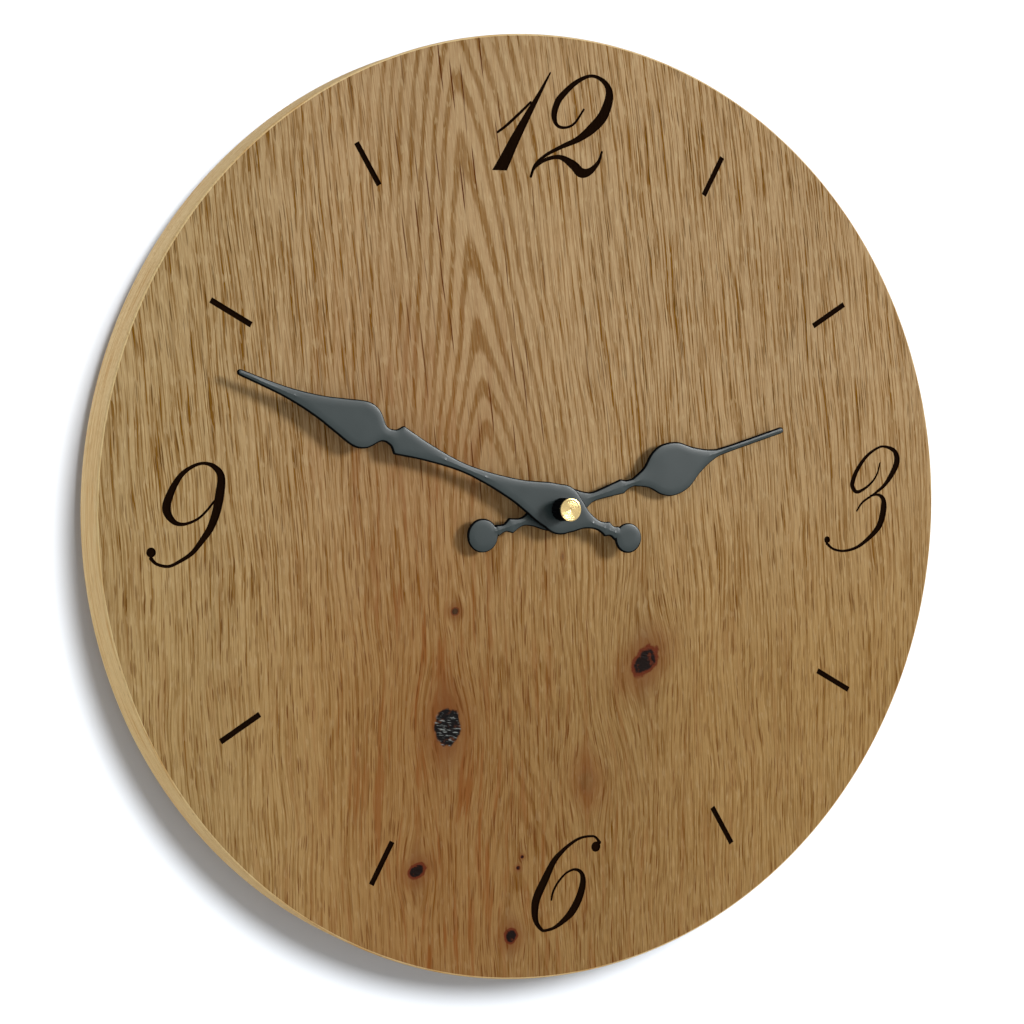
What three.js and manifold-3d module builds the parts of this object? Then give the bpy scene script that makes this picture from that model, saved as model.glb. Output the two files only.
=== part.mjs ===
// A round oak wall clock with a battery movement, as an assembly of its separate pieces.
// Lengths are in millimetres and angles in degrees. The clock is drawn lying on its back: x to the
// right, y towards twelve, z out of the wall towards the viewer. The last lines stand it upright.
import * as THREE from "three";
import { mergeVertices } from "three/addons/utils/BufferGeometryUtils.js";
import Module from "manifold-3d";

const wasm = await Module();
wasm.setup();

// Clearances
const RUNNING = 0.08; // radial, between a turning piece and its bearing
const PRESSED = 0.1; // between pieces that are pressed, glued or screwed together
const END_PLAY = 0.3; // between turning pieces, along their axis
const LAYER_GAP = 0.6; // clear height between wheels that pass over each other

// Facets round a circle
const ROUND = 20;
const SMALL_ROUND = 8; // arbors, pivots, pins and their holes
const NOTCH_ROUND = 4;
const LARGE_ROUND = 40;
const DIAL_ROUND = 96;

// Oak dial
const DIAL_DIAMETER = 300;
const DIAL_THICKNESS = 16;
const DIAL_EDGE_BREAK = 0.7;
const BAR_OUTER_RADIUS = 131;
const BAR_LENGTH = 14.4;
const BAR_WIDTH = 1.6;
const BAR_DEPTH = 0.5;
const POCKET_CLEARANCE = 1.5;
const POCKET_CORNER = 5;
const NAIL_POCKET_WIDTH = 30;
const NAIL_POCKET_HEIGHT = 17;
const BUMPER_DIAMETER = 10;
const BUMPER_CIRCLE_RADIUS = 125;
const BUMPER_ANGLE = 48; // each side of straight down
const BUMPER_EDGE = 1;

// Movement case. It stands proud of the dial's back, and its back rests on the wall.
const CASE_DEPTH = 16;
const CASE_PROUD = 5;
const CASE_CORNER = 3;
const CASE_WALL = 1.4;
const ROOM_CORNER = 1;
const REAR_FLOOR = 1.6;
const REAR_DEPTH = 11; // the case parts here into its rear tub and its front cover
const COVER_LIP = [0.8, 1.5]; // thickness, depth
const KNOB_DIAMETER = 13;
const KNOB_THICKNESS = 1.6;
const KNOB_RECESS = 0.2;
const KNOB_WELL_ROOF = 1;
const KNOB_RIBS = 16;
const KNOB_RIB_RADIUS = 0.5;

// Fixing of the movement through the dial
const BUSHING_RADIUS = 4;
const BUSHING_END = 0.2; // how far it stands out of its nut
const BUSHING_FLANGE = [6, 0.9]; // radius, thickness
const HANGER_THICKNESS = 0.8;
const HANGER_WIDTH = 24;
const HANGER_FOOT_RADIUS = 10;
const HANGER_RISE = 0.5; // clear of the case's top
const HANGER_STAND_OFF = 3; // of its upper leaf from the wall
const HANGER_REACH = 15; // height of its upper leaf
const HANGER_CORNER = 2;
const NAIL_HOLE = [12, 6]; // width, height
const NAIL_HOLE_CORNER = 1.5;
const NAIL_NOTCH_RADIUS = 2.4;
const NAIL_HOLE_MARGIN = 2.4; // from the notch's top to the leaf's end
const RUBBER_WASHER = [12, 1.2]; // radius, thickness
const DIAL_WASHER = [6.6, 0.4];
const NUT_THICKNESS = 2;
const NUT_ACROSS_FLATS = 11;

// Shafts on the centre line, one inside the other
const HOUR_TUBE_RADIUS = 2.5;
const HOUR_TUBE_WALL = 0.65;
const MINUTE_SHAFT_WALL = 0.95;
const ARBOR_RADIUS = 0.5;
const PIVOT_RADIUS = 0.35;
const PIVOT_LENGTH = 0.6;
const SETTING_ARBOR_RADIUS = 0.9;

// Hands. An edge is a list of stretches, which meet at sharp corners. Each stretch is a smooth
// curve through its points: distance from the hands' axis, and half the hand's width there.
const HAND_THICKNESS = 0.9;
const HAND_SPACING = 1.3; // clear height between the two hands
const HOUR_ANGLE = 74.6; // clockwise from twelve, as in the photograph
const MINUTE_ANGLE = 292.4;
const HAND_BUSH_RADIUS = 3.65;
const HAND_BUSH_HEIGHT = 5.4;
const HAND_BUSH_NOTCHES = 16;
const HAND_BUSH_NOTCH_RADIUS = 0.28;
const HAND_CAP_HEIGHT = 0.7;
const SHAFT_IN_BUSH = 4;
const COLLET_STEM_RADIUS = 3;
const COLLET_LIP = [3.6, 0.5]; // radius, height
const MINUTE_HAND = {
  edge: [
    [[116.5, 0], [116.2, 0.55], [115.4, 0.75]],
    [[115.4, 0.75], [104, 1.25], [96, 2.05], [88, 3.55], [81, 5.45], [74, 7.25], [69.5, 6.2],
      [66, 2.75], [64.2, 2.2]],
    [[64.2, 2.2], [62.2, 2.8], [60.6, 4.5], [60, 4.6]],
    [[60, 4.6], [50, 2.75], [38, 1.5], [28, 2], [18, 3.5], [12, 5.05], [7, 6.6], [3, 7.4]],
  ],
  tailEdge: [
    [[3, 7.4], [6.5, 5.3], [10, 2.9], [13.5, 1.7], [16, 1.75], [18, 2.5]],
    [[18, 2.5], [20, 1.75], [22, 2.4]],
  ],
  hubRadius: 8,
  ball: [26.4, 4.8], // distance of its centre, radius
};
const HOUR_HAND = {
  edge: [
    [[89.2, 0], [88.9, 0.65], [88, 0.9]],
    [[88, 0.9], [66, 0.95], [60, 1.8], [54, 4.4], [48.4, 7.8], [42.5, 8.6], [38, 6.9], [34, 3.4], [29, 1.3]],
    [[29, 1.3], [26.6, 1.5], [24.6, 2.4]],
    [[24.6, 2.4], [20, 1.95], [14, 1.55], [11, 2.4], [7, 4.8], [3.5, 6.5]],
  ],
  tailEdge: [
    [[3.5, 6.5], [7, 4.6], [10, 2.6], [13.5, 1.4], [17.4, 2.5]],
    [[17.4, 2.5], [19.8, 1.3], [22.6, 1.9]],
  ],
  hubRadius: 7.4,
  ball: [27.7, 5.3],
};

// Wheel train, from the hands to the rotor that steps twice for each turn
const TEETH = {
  cannonPinion: 10, minuteWheel: 30, minutePinion: 8, hourWheel: 32,
  centreWheel: 48, thirdPinion: 6, thirdWheel: 45, secondsPinion: 6,
  secondsWheel: 48, stepPinion: 8, stepWheel: 30, rotorPinion: 6,
};
const MINUTE_WHEEL_MODULE = 0.48;
const THIRD_WHEEL_MODULE = 0.35;
const SECONDS_WHEEL_MODULE = 0.325;
const STEP_WHEEL_MODULE = 0.29;
// A flank is a list of points in modules: height over the pitch circle, half the tooth's width
const WHEEL_FLANK = [[-1.2, 0.98], [0.95, 0.33]];
const LEAF_FLANK = [[-1.2, 0.5], [0, 0.62], [0.85, 0.22]];
const WHEEL_THICKNESS = 0.8;
const WHEEL_STEP = 0.2; // added between layers where a hub or a pinion's end stands out
const MINUTE_WHEEL_DIRECTION = 60; // of each arbor, as seen from the one that it meshes with
const THIRD_WHEEL_DIRECTION = 150;
const STEP_WHEEL_DIRECTION = 0;
const ROTOR_DIRECTION = 35;

// Bridge, and the stepping motor
const BRIDGE_THICKNESS = 0.8;
const BRIDGE_MARGIN = 2.4;
const PILLAR_RADIUS = 1.8;
const PILLAR_PIN_RADIUS = 0.8;
const LEFT_PILLAR = [-18, 0];
const LOWER_PILLAR = [8.6, -6.9];
const UPPER_PILLAR = [1.5, 14];
const ROTOR_RADIUS = 2.2;
const ROTOR_LENGTH = 1.5;
const ROTOR_GAP = 0.4;
const STATOR_THICKNESS = 1;
const STATOR_ARM = 3.2;
const CORE_WIDTH = 2.4;
const COIL_RADIUS = 3.2;
const COIL_LENGTH = 15;
const COIL_FROM_WALL = 5.2; // from its centre line to the case's wall
const BOBBIN_FLANGE = [8, 0.8]; // width, thickness
const BOBBIN_WALL = 0.5;

// Circuit
const BOARD_HEIGHT = 9;
const BOARD_THICKNESS = 1;
const BOARD_STAND_OFF = 1.5;
const CHIP_AT = [-9, 0]; // from the board's middle
const CHIP_DOME = [3.6, 1.1]; // radius, height
const CHIP_SHOULDERS = [[0.92, 0.5], [0.6, 0.9]]; // as shares of its radius and height
const CRYSTAL_AT = [9, 0];
const CRYSTAL_RADIUS = 1.5;
const CRYSTAL_LENGTH = 8;

// Battery, size AA, and its bay
const BATTERY_RADIUS = 7.1;
const BATTERY_LENGTH = 50;
const BATTERY_EDGE = 0.5;
const BATTERY_NUB = [2.75, 1]; // radius, height
const BATTERY_RECESS = 0.4; // behind the wall face
const BAY_CLEARANCE = 0.6;
const BAY_END_ROOM = 3.2; // the bay's spare length, for the contacts at its two ends
const CONTACT_THICKNESS = 0.4;
const CONTACT_BACK = 4.3;
const CONTACT_FRONT = 9;
const CONTACT_FOOT = [2.6, 3]; // length over the board, width
const LEAF_HALF_LENGTH = 5.1; // of the spring leaf behind the battery

const FINISH = {
  oak: { color: 0xa88457, roughness: 0.62, metalness: 0 },
  blackPlastic: { color: 0x1c1d1f, roughness: 0.5, metalness: 0 },
  whitePlastic: { color: 0xe4e2d8, roughness: 0.45, metalness: 0 },
  greenBoard: { color: 0x2f5d46, roughness: 0.5, metalness: 0 },
  rubber: { color: 0x202020, roughness: 0.9, metalness: 0 },
  brass: { color: 0xc9a24d, roughness: 0.28, metalness: 1 },
  steel: { color: 0xb7bbc0, roughness: 0.35, metalness: 1 },
  copper: { color: 0xb4622f, roughness: 0.35, metalness: 1 },
  blackPaint: { color: 0x34393c, roughness: 0.38, metalness: 0.2 },
  batteryJacket: { color: 0x3d4247, roughness: 0.35, metalness: 0.3 },
};

// The square case is as wide as its battery bay and two walls
const CASE_SIZE = BATTERY_LENGTH + BAY_END_ROOM + 2 * CASE_WALL;

// Heights that follow, from the wall outwards
const COVER_INSIDE = CASE_DEPTH - CASE_WALL;
const HANGER_FRONT = CASE_DEPTH + HANGER_THICKNESS;
const POCKET_FLOOR = HANGER_FRONT + RUBBER_WASHER[1];
const DIAL_BACK = CASE_PROUD;
const DIAL_FRONT = DIAL_BACK + DIAL_THICKNESS;
const NUT_BACK = DIAL_FRONT + DIAL_WASHER[1];
const NUT_FRONT = NUT_BACK + NUT_THICKNESS;
const BUSHING_FRONT = NUT_FRONT + BUSHING_END;
const HOUR_HAND_BACK = BUSHING_FRONT + END_PLAY;
const HOUR_HAND_FRONT = HOUR_HAND_BACK + HAND_THICKNESS;
const MINUTE_HAND_BACK = HOUR_HAND_FRONT + HAND_SPACING;
const MINUTE_HAND_FRONT = MINUTE_HAND_BACK + HAND_THICKNESS;
const HAND_BUSH_FRONT = MINUTE_HAND_FRONT + HAND_BUSH_HEIGHT;
const KNOB_WELL = KNOB_RECESS + KNOB_THICKNESS + WHEEL_STEP;
const SECONDS_LAYER = KNOB_WELL + KNOB_WELL_ROOF + LAYER_GAP;
const THIRD_LAYER = SECONDS_LAYER + WHEEL_THICKNESS + LAYER_GAP;
const CENTRE_LAYER = THIRD_LAYER + WHEEL_THICKNESS + LAYER_GAP + WHEEL_STEP;
const BRIDGE_LAYER = CENTRE_LAYER + WHEEL_THICKNESS + LAYER_GAP + WHEEL_STEP;
const BRIDGE_FRONT = BRIDGE_LAYER + BRIDGE_THICKNESS;
const MINUTE_LAYER = BRIDGE_FRONT + LAYER_GAP;
const HOUR_LAYER = MINUTE_LAYER + WHEEL_THICKNESS + LAYER_GAP + WHEEL_STEP;
const STATOR_BACK = CENTRE_LAYER;
const STATOR_FRONT = STATOR_BACK + STATOR_THICKNESS;
const BOARD_BACK = REAR_FLOOR + BOARD_STAND_OFF;
const BOARD_FRONT = BOARD_BACK + BOARD_THICKNESS;
const BATTERY_AXIS = BATTERY_RECESS + BATTERY_RADIUS;

// Radii that follow
const HOUR_TUBE_BORE = HOUR_TUBE_RADIUS - HOUR_TUBE_WALL;
const MINUTE_SHAFT_RADIUS = HOUR_TUBE_BORE - RUNNING;
const MINUTE_SHAFT_BORE = MINUTE_SHAFT_RADIUS - MINUTE_SHAFT_WALL;

// Places of the arbors in the plane of the dial
const along = ([x, y], degrees, distance) => {
  const a = THREE.MathUtils.degToRad(degrees);
  return [x + distance * Math.cos(a), y + distance * Math.sin(a)];
};
const CENTRE = [0, 0];
const MINUTE_DISTANCE = ((TEETH.cannonPinion + TEETH.minuteWheel) * MINUTE_WHEEL_MODULE) / 2;
const THIRD_DISTANCE = ((TEETH.secondsPinion + TEETH.thirdWheel) * THIRD_WHEEL_MODULE) / 2;
const STEP_DISTANCE = ((TEETH.stepPinion + TEETH.secondsWheel) * SECONDS_WHEEL_MODULE) / 2;
const ROTOR_DISTANCE = ((TEETH.rotorPinion + TEETH.stepWheel) * STEP_WHEEL_MODULE) / 2;
const HOUR_WHEEL_MODULE = (2 * MINUTE_DISTANCE) / (TEETH.minutePinion + TEETH.hourWheel);
const CENTRE_WHEEL_MODULE = (2 * THIRD_DISTANCE) / (TEETH.thirdPinion + TEETH.centreWheel);
const SETTING_AT = along(CENTRE, MINUTE_WHEEL_DIRECTION, MINUTE_DISTANCE);
const THIRD_AT = along(CENTRE, THIRD_WHEEL_DIRECTION, THIRD_DISTANCE);
const STEP_AT = along(CENTRE, STEP_WHEEL_DIRECTION, STEP_DISTANCE);
const ROTOR_AT = along(STEP_AT, ROTOR_DIRECTION, ROTOR_DISTANCE);

// The case's rooms, and what lies along their walls
const HALF_CASE = CASE_SIZE / 2;
const INSIDE = HALF_CASE - CASE_WALL;
const BAY_TOP = -INSIDE + 2 * (BATTERY_RADIUS + BAY_CLEARANCE);
const TRAIN_ROOM_BOTTOM = BAY_TOP + CASE_WALL;
const BAY_MIDDLE = (BAY_TOP - INSIDE) / 2;
const COIL_X = INSIDE - COIL_FROM_WALL;
const STATOR_POST_DISTANCE = COIL_LENGTH / 2 + PILLAR_RADIUS + END_PLAY;
const STATOR_POSTS = [-1, 1].map((sign) => [COIL_X, ROTOR_AT[1] + sign * STATOR_POST_DISTANCE]);
const CORE_AXIS = STATOR_FRONT + PRESSED + STATOR_THICKNESS / 2;
const CORE_FRONT = CORE_AXIS + STATOR_THICKNESS / 2;
const BOARD_TOP = INSIDE - ROOM_CORNER;
const BOARD_MIDDLE = BOARD_TOP - BOARD_HEIGHT / 2;
const BOARD_HALF_LENGTH = INSIDE - PRESSED;

// Solids and meshes

function solid(geometry) {
  const bare = geometry.index ? geometry.toNonIndexed() : geometry.clone();
  bare.deleteAttribute("normal");
  bare.deleteAttribute("uv");
  const merged = mergeVertices(bare, 1e-4);
  return new wasm.Manifold(new wasm.Mesh({
    numProp: 3,
    vertProperties: merged.attributes.position.array,
    triVerts: new Uint32Array(merged.index.array),
  }));
}

function geometryOf(body) {
  const mesh = body.getMesh();
  return new THREE.BufferGeometry()
    .setAttribute("position", new THREE.BufferAttribute(Float32Array.from(mesh.vertProperties), 3))
    .setIndex(new THREE.BufferAttribute(Uint32Array.from(mesh.triVerts), 1));
}

const joined = (...bodies) => bodies.reduce((whole, body) => whole.add(body));
const cut = (whole, ...tools) => tools.reduce((left, tool) => left.subtract(tool), whole);
const moved = (body, [x, y], z = 0) => body.translate([x, y, z]);

function prism(shape, low, high, curveSegments = 4) {
  const options = { depth: high - low, bevelEnabled: false, curveSegments };
  return solid(new THREE.ExtrudeGeometry(shape, options).translate(0, 0, low));
}

// A closed profile of [radius, z] points, turned about the z axis.
function turned(profile, segments = ROUND) {
  const points = [...profile, profile[0]].map(([r, z]) => new THREE.Vector2(r, z));
  return solid(new THREE.LatheGeometry(points, segments).rotateX(Math.PI / 2));
}

const disc = (radius, low, high, segments = ROUND) =>
  turned([[0, low], [radius, low], [radius, high], [0, high]], segments);
const ring = (inner, outer, low, high, segments = ROUND) =>
  turned([[inner, low], [outer, low], [outer, high], [inner, high]], segments);

// An axle with a thinner pivot at each end, from the start of one pivot to the end of the other.
function arbor(low, high, highShoulder = high - BRIDGE_THICKNESS - END_PLAY) {
  const lowShoulder = low + PIVOT_LENGTH + END_PLAY;
  return turned([
    [0, low], [PIVOT_RADIUS, low], [PIVOT_RADIUS, lowShoulder], [ARBOR_RADIUS, lowShoulder],
    [ARBOR_RADIUS, highShoulder], [PIVOT_RADIUS, highShoulder], [PIVOT_RADIUS, high], [0, high],
  ], SMALL_ROUND);
}

// A convex outline round the given points, which come counterclockwise, as a string round pegs.
function pegShape(points, radius) {
  const shape = new THREE.Shape();
  points.forEach(([x, y], i) => {
    const [beforeX, beforeY] = points[(i + points.length - 1) % points.length];
    const [afterX, afterY] = points[(i + 1) % points.length];
    const start = Math.atan2(y - beforeY, x - beforeX) - Math.PI / 2;
    const end = Math.atan2(afterY - y, afterX - x) - Math.PI / 2;
    shape.absarc(x, y, radius, start, end < start ? end + 2 * Math.PI : end);
  });
  return shape;
}

const roundBlock = ([left, bottom, right, top], corner, low, high) => prism(pegShape([
  [left + corner, bottom + corner], [right - corner, bottom + corner],
  [right - corner, top - corner], [left + corner, top - corner],
], corner), low, high);
const block = ([left, bottom, right, top], low, high) => solid(
  new THREE.BoxGeometry(right - left, top - bottom, high - low)
    .translate((left + right) / 2, (bottom + top) / 2, (low + high) / 2));
const square = (half) => [-half, -half, half, half];
const around = ([x, y], halfWidth, halfHeight) =>
  [x - halfWidth, y - halfHeight, x + halfWidth, y + halfHeight];

// A wheel or pinion with a tooth, or with a gap, in the given direction.
function toothed(teeth, module, flank, low, high, direction, gap = false) {
  const pitchRadius = (teeth * module) / 2;
  const side = flank.map(([height, half]) => [pitchRadius + height * module, half * module]);
  const tooth = [...side.map(([r, half]) => [r, -half]), ...side.toReversed()];
  const first = THREE.MathUtils.degToRad(direction) + (gap ? Math.PI / teeth : 0);
  const points = [];
  for (let i = 0; i < teeth; i++) {
    const middle = first + (2 * Math.PI * i) / teeth;
    for (const [r, half] of tooth) {
      const a = middle + half / r;
      points.push(new THREE.Vector2(r * Math.cos(a), r * Math.sin(a)));
    }
  }
  return prism(new THREE.Shape(points), low, high);
}

const wheel = (teeth, module, layer, direction, gap) =>
  toothed(teeth, module, WHEEL_FLANK, layer, layer + WHEEL_THICKNESS, direction, gap);
const pinion = (teeth, module, layer, direction, gap) =>
  toothed(teeth, module, LEAF_FLANK, layer - WHEEL_STEP, layer + WHEEL_THICKNESS + WHEEL_STEP, direction, gap);

const clock = new THREE.Group();

function piece(name, body, finish, parent = clock) {
  const mesh = new THREE.Mesh(geometryOf(body), new THREE.MeshStandardMaterial(FINISH[finish]));
  mesh.name = name;
  parent.add(mesh);
}

// Oak dial

function dialDisc() {
  const radius = DIAL_DIAMETER / 2;
  const slab = turned([
    [0, DIAL_BACK], [radius - DIAL_EDGE_BREAK, DIAL_BACK], [radius, DIAL_BACK + DIAL_EDGE_BREAK],
    [radius, DIAL_FRONT - DIAL_EDGE_BREAK], [radius - DIAL_EDGE_BREAK, DIAL_FRONT], [0, DIAL_FRONT],
  ], DIAL_ROUND);
  const half = HALF_CASE + POCKET_CLEARANCE;
  const pocket = roundBlock(square(half), POCKET_CORNER, 0, POCKET_FLOOR);
  const nailPocket = roundBlock(
    [-NAIL_POCKET_WIDTH / 2, 0, NAIL_POCKET_WIDTH / 2, half + NAIL_POCKET_HEIGHT],
    POCKET_CORNER, 0, POCKET_FLOOR);
  const bushingHole = disc(BUSHING_RADIUS + END_PLAY, 0, DIAL_FRONT + 1);
  const bars = [1, 2, 4, 5, 7, 8, 10, 11].map((hour) => block(
    [-BAR_WIDTH / 2, BAR_OUTER_RADIUS - BAR_LENGTH, BAR_WIDTH / 2, BAR_OUTER_RADIUS],
    DIAL_FRONT - BAR_DEPTH, DIAL_FRONT + 1,
  ).rotate([0, 0, -30 * hour]));
  return cut(slab, pocket, nailPocket, bushingHole, ...bars);
}

piece("dial_disc", dialDisc(), "oak");

for (const [side, sign] of [["left", -1], ["right", 1]]) {
  const radius = BUMPER_DIAMETER / 2;
  const pad = turned([
    [0, 0], [radius - BUMPER_EDGE, 0], [radius, BUMPER_EDGE], [radius, CASE_PROUD], [0, CASE_PROUD],
  ]);
  const at = along(CENTRE, -90 + sign * BUMPER_ANGLE, BUMPER_CIRCLE_RADIUS);
  piece(`wall_bumper_${side}`, moved(pad, at), "rubber");
}

// Movement case

const trainRoom = (inset, low, high) => roundBlock(
  [-INSIDE + inset, TRAIN_ROOM_BOTTOM + inset, INSIDE - inset, INSIDE - inset], ROOM_CORNER, low, high);
const batteryBay = (low, high) => block([-INSIDE, -INSIDE, INSIDE, BAY_TOP], low, high);

// A post whose thinner top goes through the plate, or plates, that it carries.
const post = (at, seat, top) => moved(turned([
  [0, REAR_FLOOR / 2], [PILLAR_RADIUS, REAR_FLOOR / 2], [PILLAR_RADIUS, seat - PRESSED],
  [PILLAR_PIN_RADIUS, seat - PRESSED], [PILLAR_PIN_RADIUS, top], [0, top],
], SMALL_ROUND), at);
const BRIDGE_PILLARS = [LEFT_PILLAR, LOWER_PILLAR, UPPER_PILLAR];
const PINNED = PILLAR_PIN_RADIUS + PRESSED;

function rearCase() {
  const tub = cut(
    roundBlock(square(HALF_CASE), CASE_CORNER, 0, REAR_DEPTH),
    trainRoom(0, REAR_FLOOR, REAR_DEPTH + 1),
    batteryBay(-1, REAR_DEPTH + 1),
  );
  const wellRadius = KNOB_DIAMETER / 2 + END_PLAY;
  const well = moved(disc(wellRadius, -1, KNOB_WELL), SETTING_AT);
  const wellRoof = moved(
    disc(wellRadius + KNOB_WELL_ROOF, REAR_FLOOR / 2, KNOB_WELL + KNOB_WELL_ROOF), SETTING_AT);
  const settingHole = moved(disc(SETTING_ARBOR_RADIUS + RUNNING, 0, REAR_DEPTH), SETTING_AT);
  const pivotHoles = [CENTRE, THIRD_AT, STEP_AT, ROTOR_AT].map((at) =>
    moved(disc(PIVOT_RADIUS + RUNNING, REAR_FLOOR - PIVOT_LENGTH - WHEEL_STEP, REAR_DEPTH, SMALL_ROUND), at));
  const ledges = [-1, 0, 1].map((place) => block(
    around([place * (BOARD_HALF_LENGTH - 1), BOARD_MIDDLE], 1, BOARD_HEIGHT / 2), REAR_FLOOR / 2, BOARD_BACK));
  const contactSlots = [-1, 1].map((sign) => block(
    around([sign * INSIDE, BAY_TOP], CONTACT_THICKNESS + 2 * PRESSED, 2 * CASE_WALL),
    CONTACT_BACK - PRESSED, REAR_DEPTH + 1).intersect(block(square(INSIDE), 0, REAR_DEPTH + 2)));
  return cut(
    joined(tub, wellRoof, ...ledges, ...BRIDGE_PILLARS.map((at) => post(at, BRIDGE_LAYER, BRIDGE_FRONT)),
      ...STATOR_POSTS.map((at) => post(at, STATOR_BACK, CORE_FRONT))),
    well, settingHole, ...pivotHoles, ...contactSlots,
  );
}

function frontCover() {
  const shell = cut(
    roundBlock(square(HALF_CASE), CASE_CORNER, REAR_DEPTH, CASE_DEPTH),
    trainRoom(0, REAR_DEPTH - 1, COVER_INSIDE),
    batteryBay(REAR_DEPTH - 1, COVER_INSIDE),
  );
  const [lip, lipDepth] = COVER_LIP;
  const lipRing = cut(
    trainRoom(PRESSED, REAR_DEPTH - lipDepth, COVER_INSIDE + PRESSED),
    trainRoom(PRESSED + lip, REAR_DEPTH - lipDepth - 1, COVER_INSIDE),
  );
  const lipRoot = trainRoom(-PRESSED, REAR_DEPTH, COVER_INSIDE + PRESSED);
  const lipHeld = cut(lipRoot, trainRoom(PRESSED + lip, REAR_DEPTH - 1, COVER_INSIDE));
  const bossBack = HOUR_LAYER + 2 * WHEEL_THICKNESS + WHEEL_STEP;
  const boss = moved(disc(PILLAR_RADIUS, bossBack, COVER_INSIDE + PRESSED), SETTING_AT);
  const bossHole = moved(disc(PIVOT_RADIUS + RUNNING, HOUR_LAYER, COVER_INSIDE, SMALL_ROUND), SETTING_AT);
  const bushingHole = disc(BUSHING_RADIUS + PRESSED, COVER_INSIDE - 1, CASE_DEPTH + 1);
  const batteryGroove = alongX(BATTERY_RADIUS + PRESSED + END_PLAY, -INSIDE, INSIDE);
  return cut(joined(shell, lipHeld, lipRing, boss), bossHole, bushingHole, batteryGroove);
}

// A round bar on the battery's axis.
function alongX(radius, left, right) {
  const bar = disc(radius, left, right).rotate([0, 90, 0]);
  return bar.translate([0, BAY_MIDDLE, BATTERY_AXIS]);
}

function trainBridge() {
  const plate = prism(
    pegShape([LEFT_PILLAR, LOWER_PILLAR, ROTOR_AT, UPPER_PILLAR], BRIDGE_MARGIN), BRIDGE_LAYER, BRIDGE_FRONT);
  const holes = [
    ...BRIDGE_PILLARS.map((at) => [at, PINNED, SMALL_ROUND]),
    ...[THIRD_AT, STEP_AT, ROTOR_AT].map((at) => [at, PIVOT_RADIUS + RUNNING, SMALL_ROUND]),
    [CENTRE, MINUTE_SHAFT_RADIUS + RUNNING, ROUND],
    [SETTING_AT, SETTING_ARBOR_RADIUS + RUNNING, ROUND],
  ].map(([at, radius, segments]) => moved(disc(radius, BRIDGE_LAYER - 1, BRIDGE_FRONT + 1, segments), at));
  return cut(plate, ...holes);
}

piece("rear_case", rearCase(), "blackPlastic");
piece("front_cover", frontCover(), "blackPlastic");
piece("train_bridge", trainBridge(), "whitePlastic");

// Fixing of the movement through the dial

const bushing = turned([
  [HOUR_TUBE_RADIUS + RUNNING, COVER_INSIDE - BUSHING_FLANGE[1]],
  [BUSHING_FLANGE[0], COVER_INSIDE - BUSHING_FLANGE[1]],
  [BUSHING_FLANGE[0], COVER_INSIDE], [BUSHING_RADIUS, COVER_INSIDE],
  [BUSHING_RADIUS, BUSHING_FRONT], [HOUR_TUBE_RADIUS + RUNNING, BUSHING_FRONT],
]);
const hexagon = new THREE.CylinderGeometry(1, 1, NUT_THICKNESS, 6);
hexagon.scale(NUT_ACROSS_FLATS / Math.sqrt(3), 1, NUT_ACROSS_FLATS / Math.sqrt(3));
hexagon.rotateX(Math.PI / 2).translate(0, 0, NUT_BACK + NUT_THICKNESS / 2);
const threadHole = disc(BUSHING_RADIUS + PRESSED, 0, BUSHING_FRONT);

function hangerPlate() {
  const riser = HALF_CASE + HANGER_RISE + HANGER_THICKNESS / 2;
  const leafFront = HANGER_STAND_OFF + HANGER_THICKNESS;
  const top = riser + HANGER_REACH;
  const half = HANGER_WIDTH / 2;
  const sides = [riser - HANGER_THICKNESS / 2, riser + HANGER_THICKNESS / 2];
  const bent = joined(
    block([-half, -HANGER_FOOT_RADIUS, half, sides[1]], CASE_DEPTH, HANGER_FRONT),
    block([-half, sides[0], half, sides[1]], HANGER_STAND_OFF, HANGER_FRONT),
    block([-half, sides[0], half, top], HANGER_STAND_OFF, leafFront),
  );
  const shoulder = HANGER_FOOT_RADIUS + half;
  const outline = joined(
    prism(pegShape([[0, 0], [half - 1, shoulder], [1 - half, shoulder]], 1), 0, HANGER_FRONT + 1),
    disc(HANGER_FOOT_RADIUS, 0, HANGER_FRONT + 1),
    roundBlock([-half, shoulder - 1, half, top], HANGER_CORNER, 0, HANGER_FRONT + 1),
  );
  const notchTop = top - NAIL_HOLE_MARGIN;
  const [holeWidth, holeHeight] = NAIL_HOLE;
  const notchAt = [0, notchTop - NAIL_NOTCH_RADIUS];
  const nailHole = joined(
    moved(disc(NAIL_NOTCH_RADIUS, 0, leafFront + 1), notchAt),
    roundBlock([-holeWidth / 2, notchAt[1] - holeHeight, holeWidth / 2, notchAt[1]], NAIL_HOLE_CORNER,
      0, leafFront + 1),
  );
  return cut(bent.intersect(outline), nailHole, disc(BUSHING_RADIUS + PRESSED, 0, HANGER_FRONT + 1));
}

piece("threaded_bushing", bushing, "brass");
piece("hanger_plate", hangerPlate(), "steel");
piece("rubber_washer", ring(BUSHING_RADIUS + END_PLAY, RUBBER_WASHER[0], HANGER_FRONT, POCKET_FLOOR), "rubber");
piece("dial_washer", ring(BUSHING_RADIUS + PRESSED, DIAL_WASHER[0], DIAL_FRONT, NUT_BACK), "brass");
piece("hex_nut", cut(solid(hexagon), threadHole), "brass");

// Battery, contacts and circuit

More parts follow.
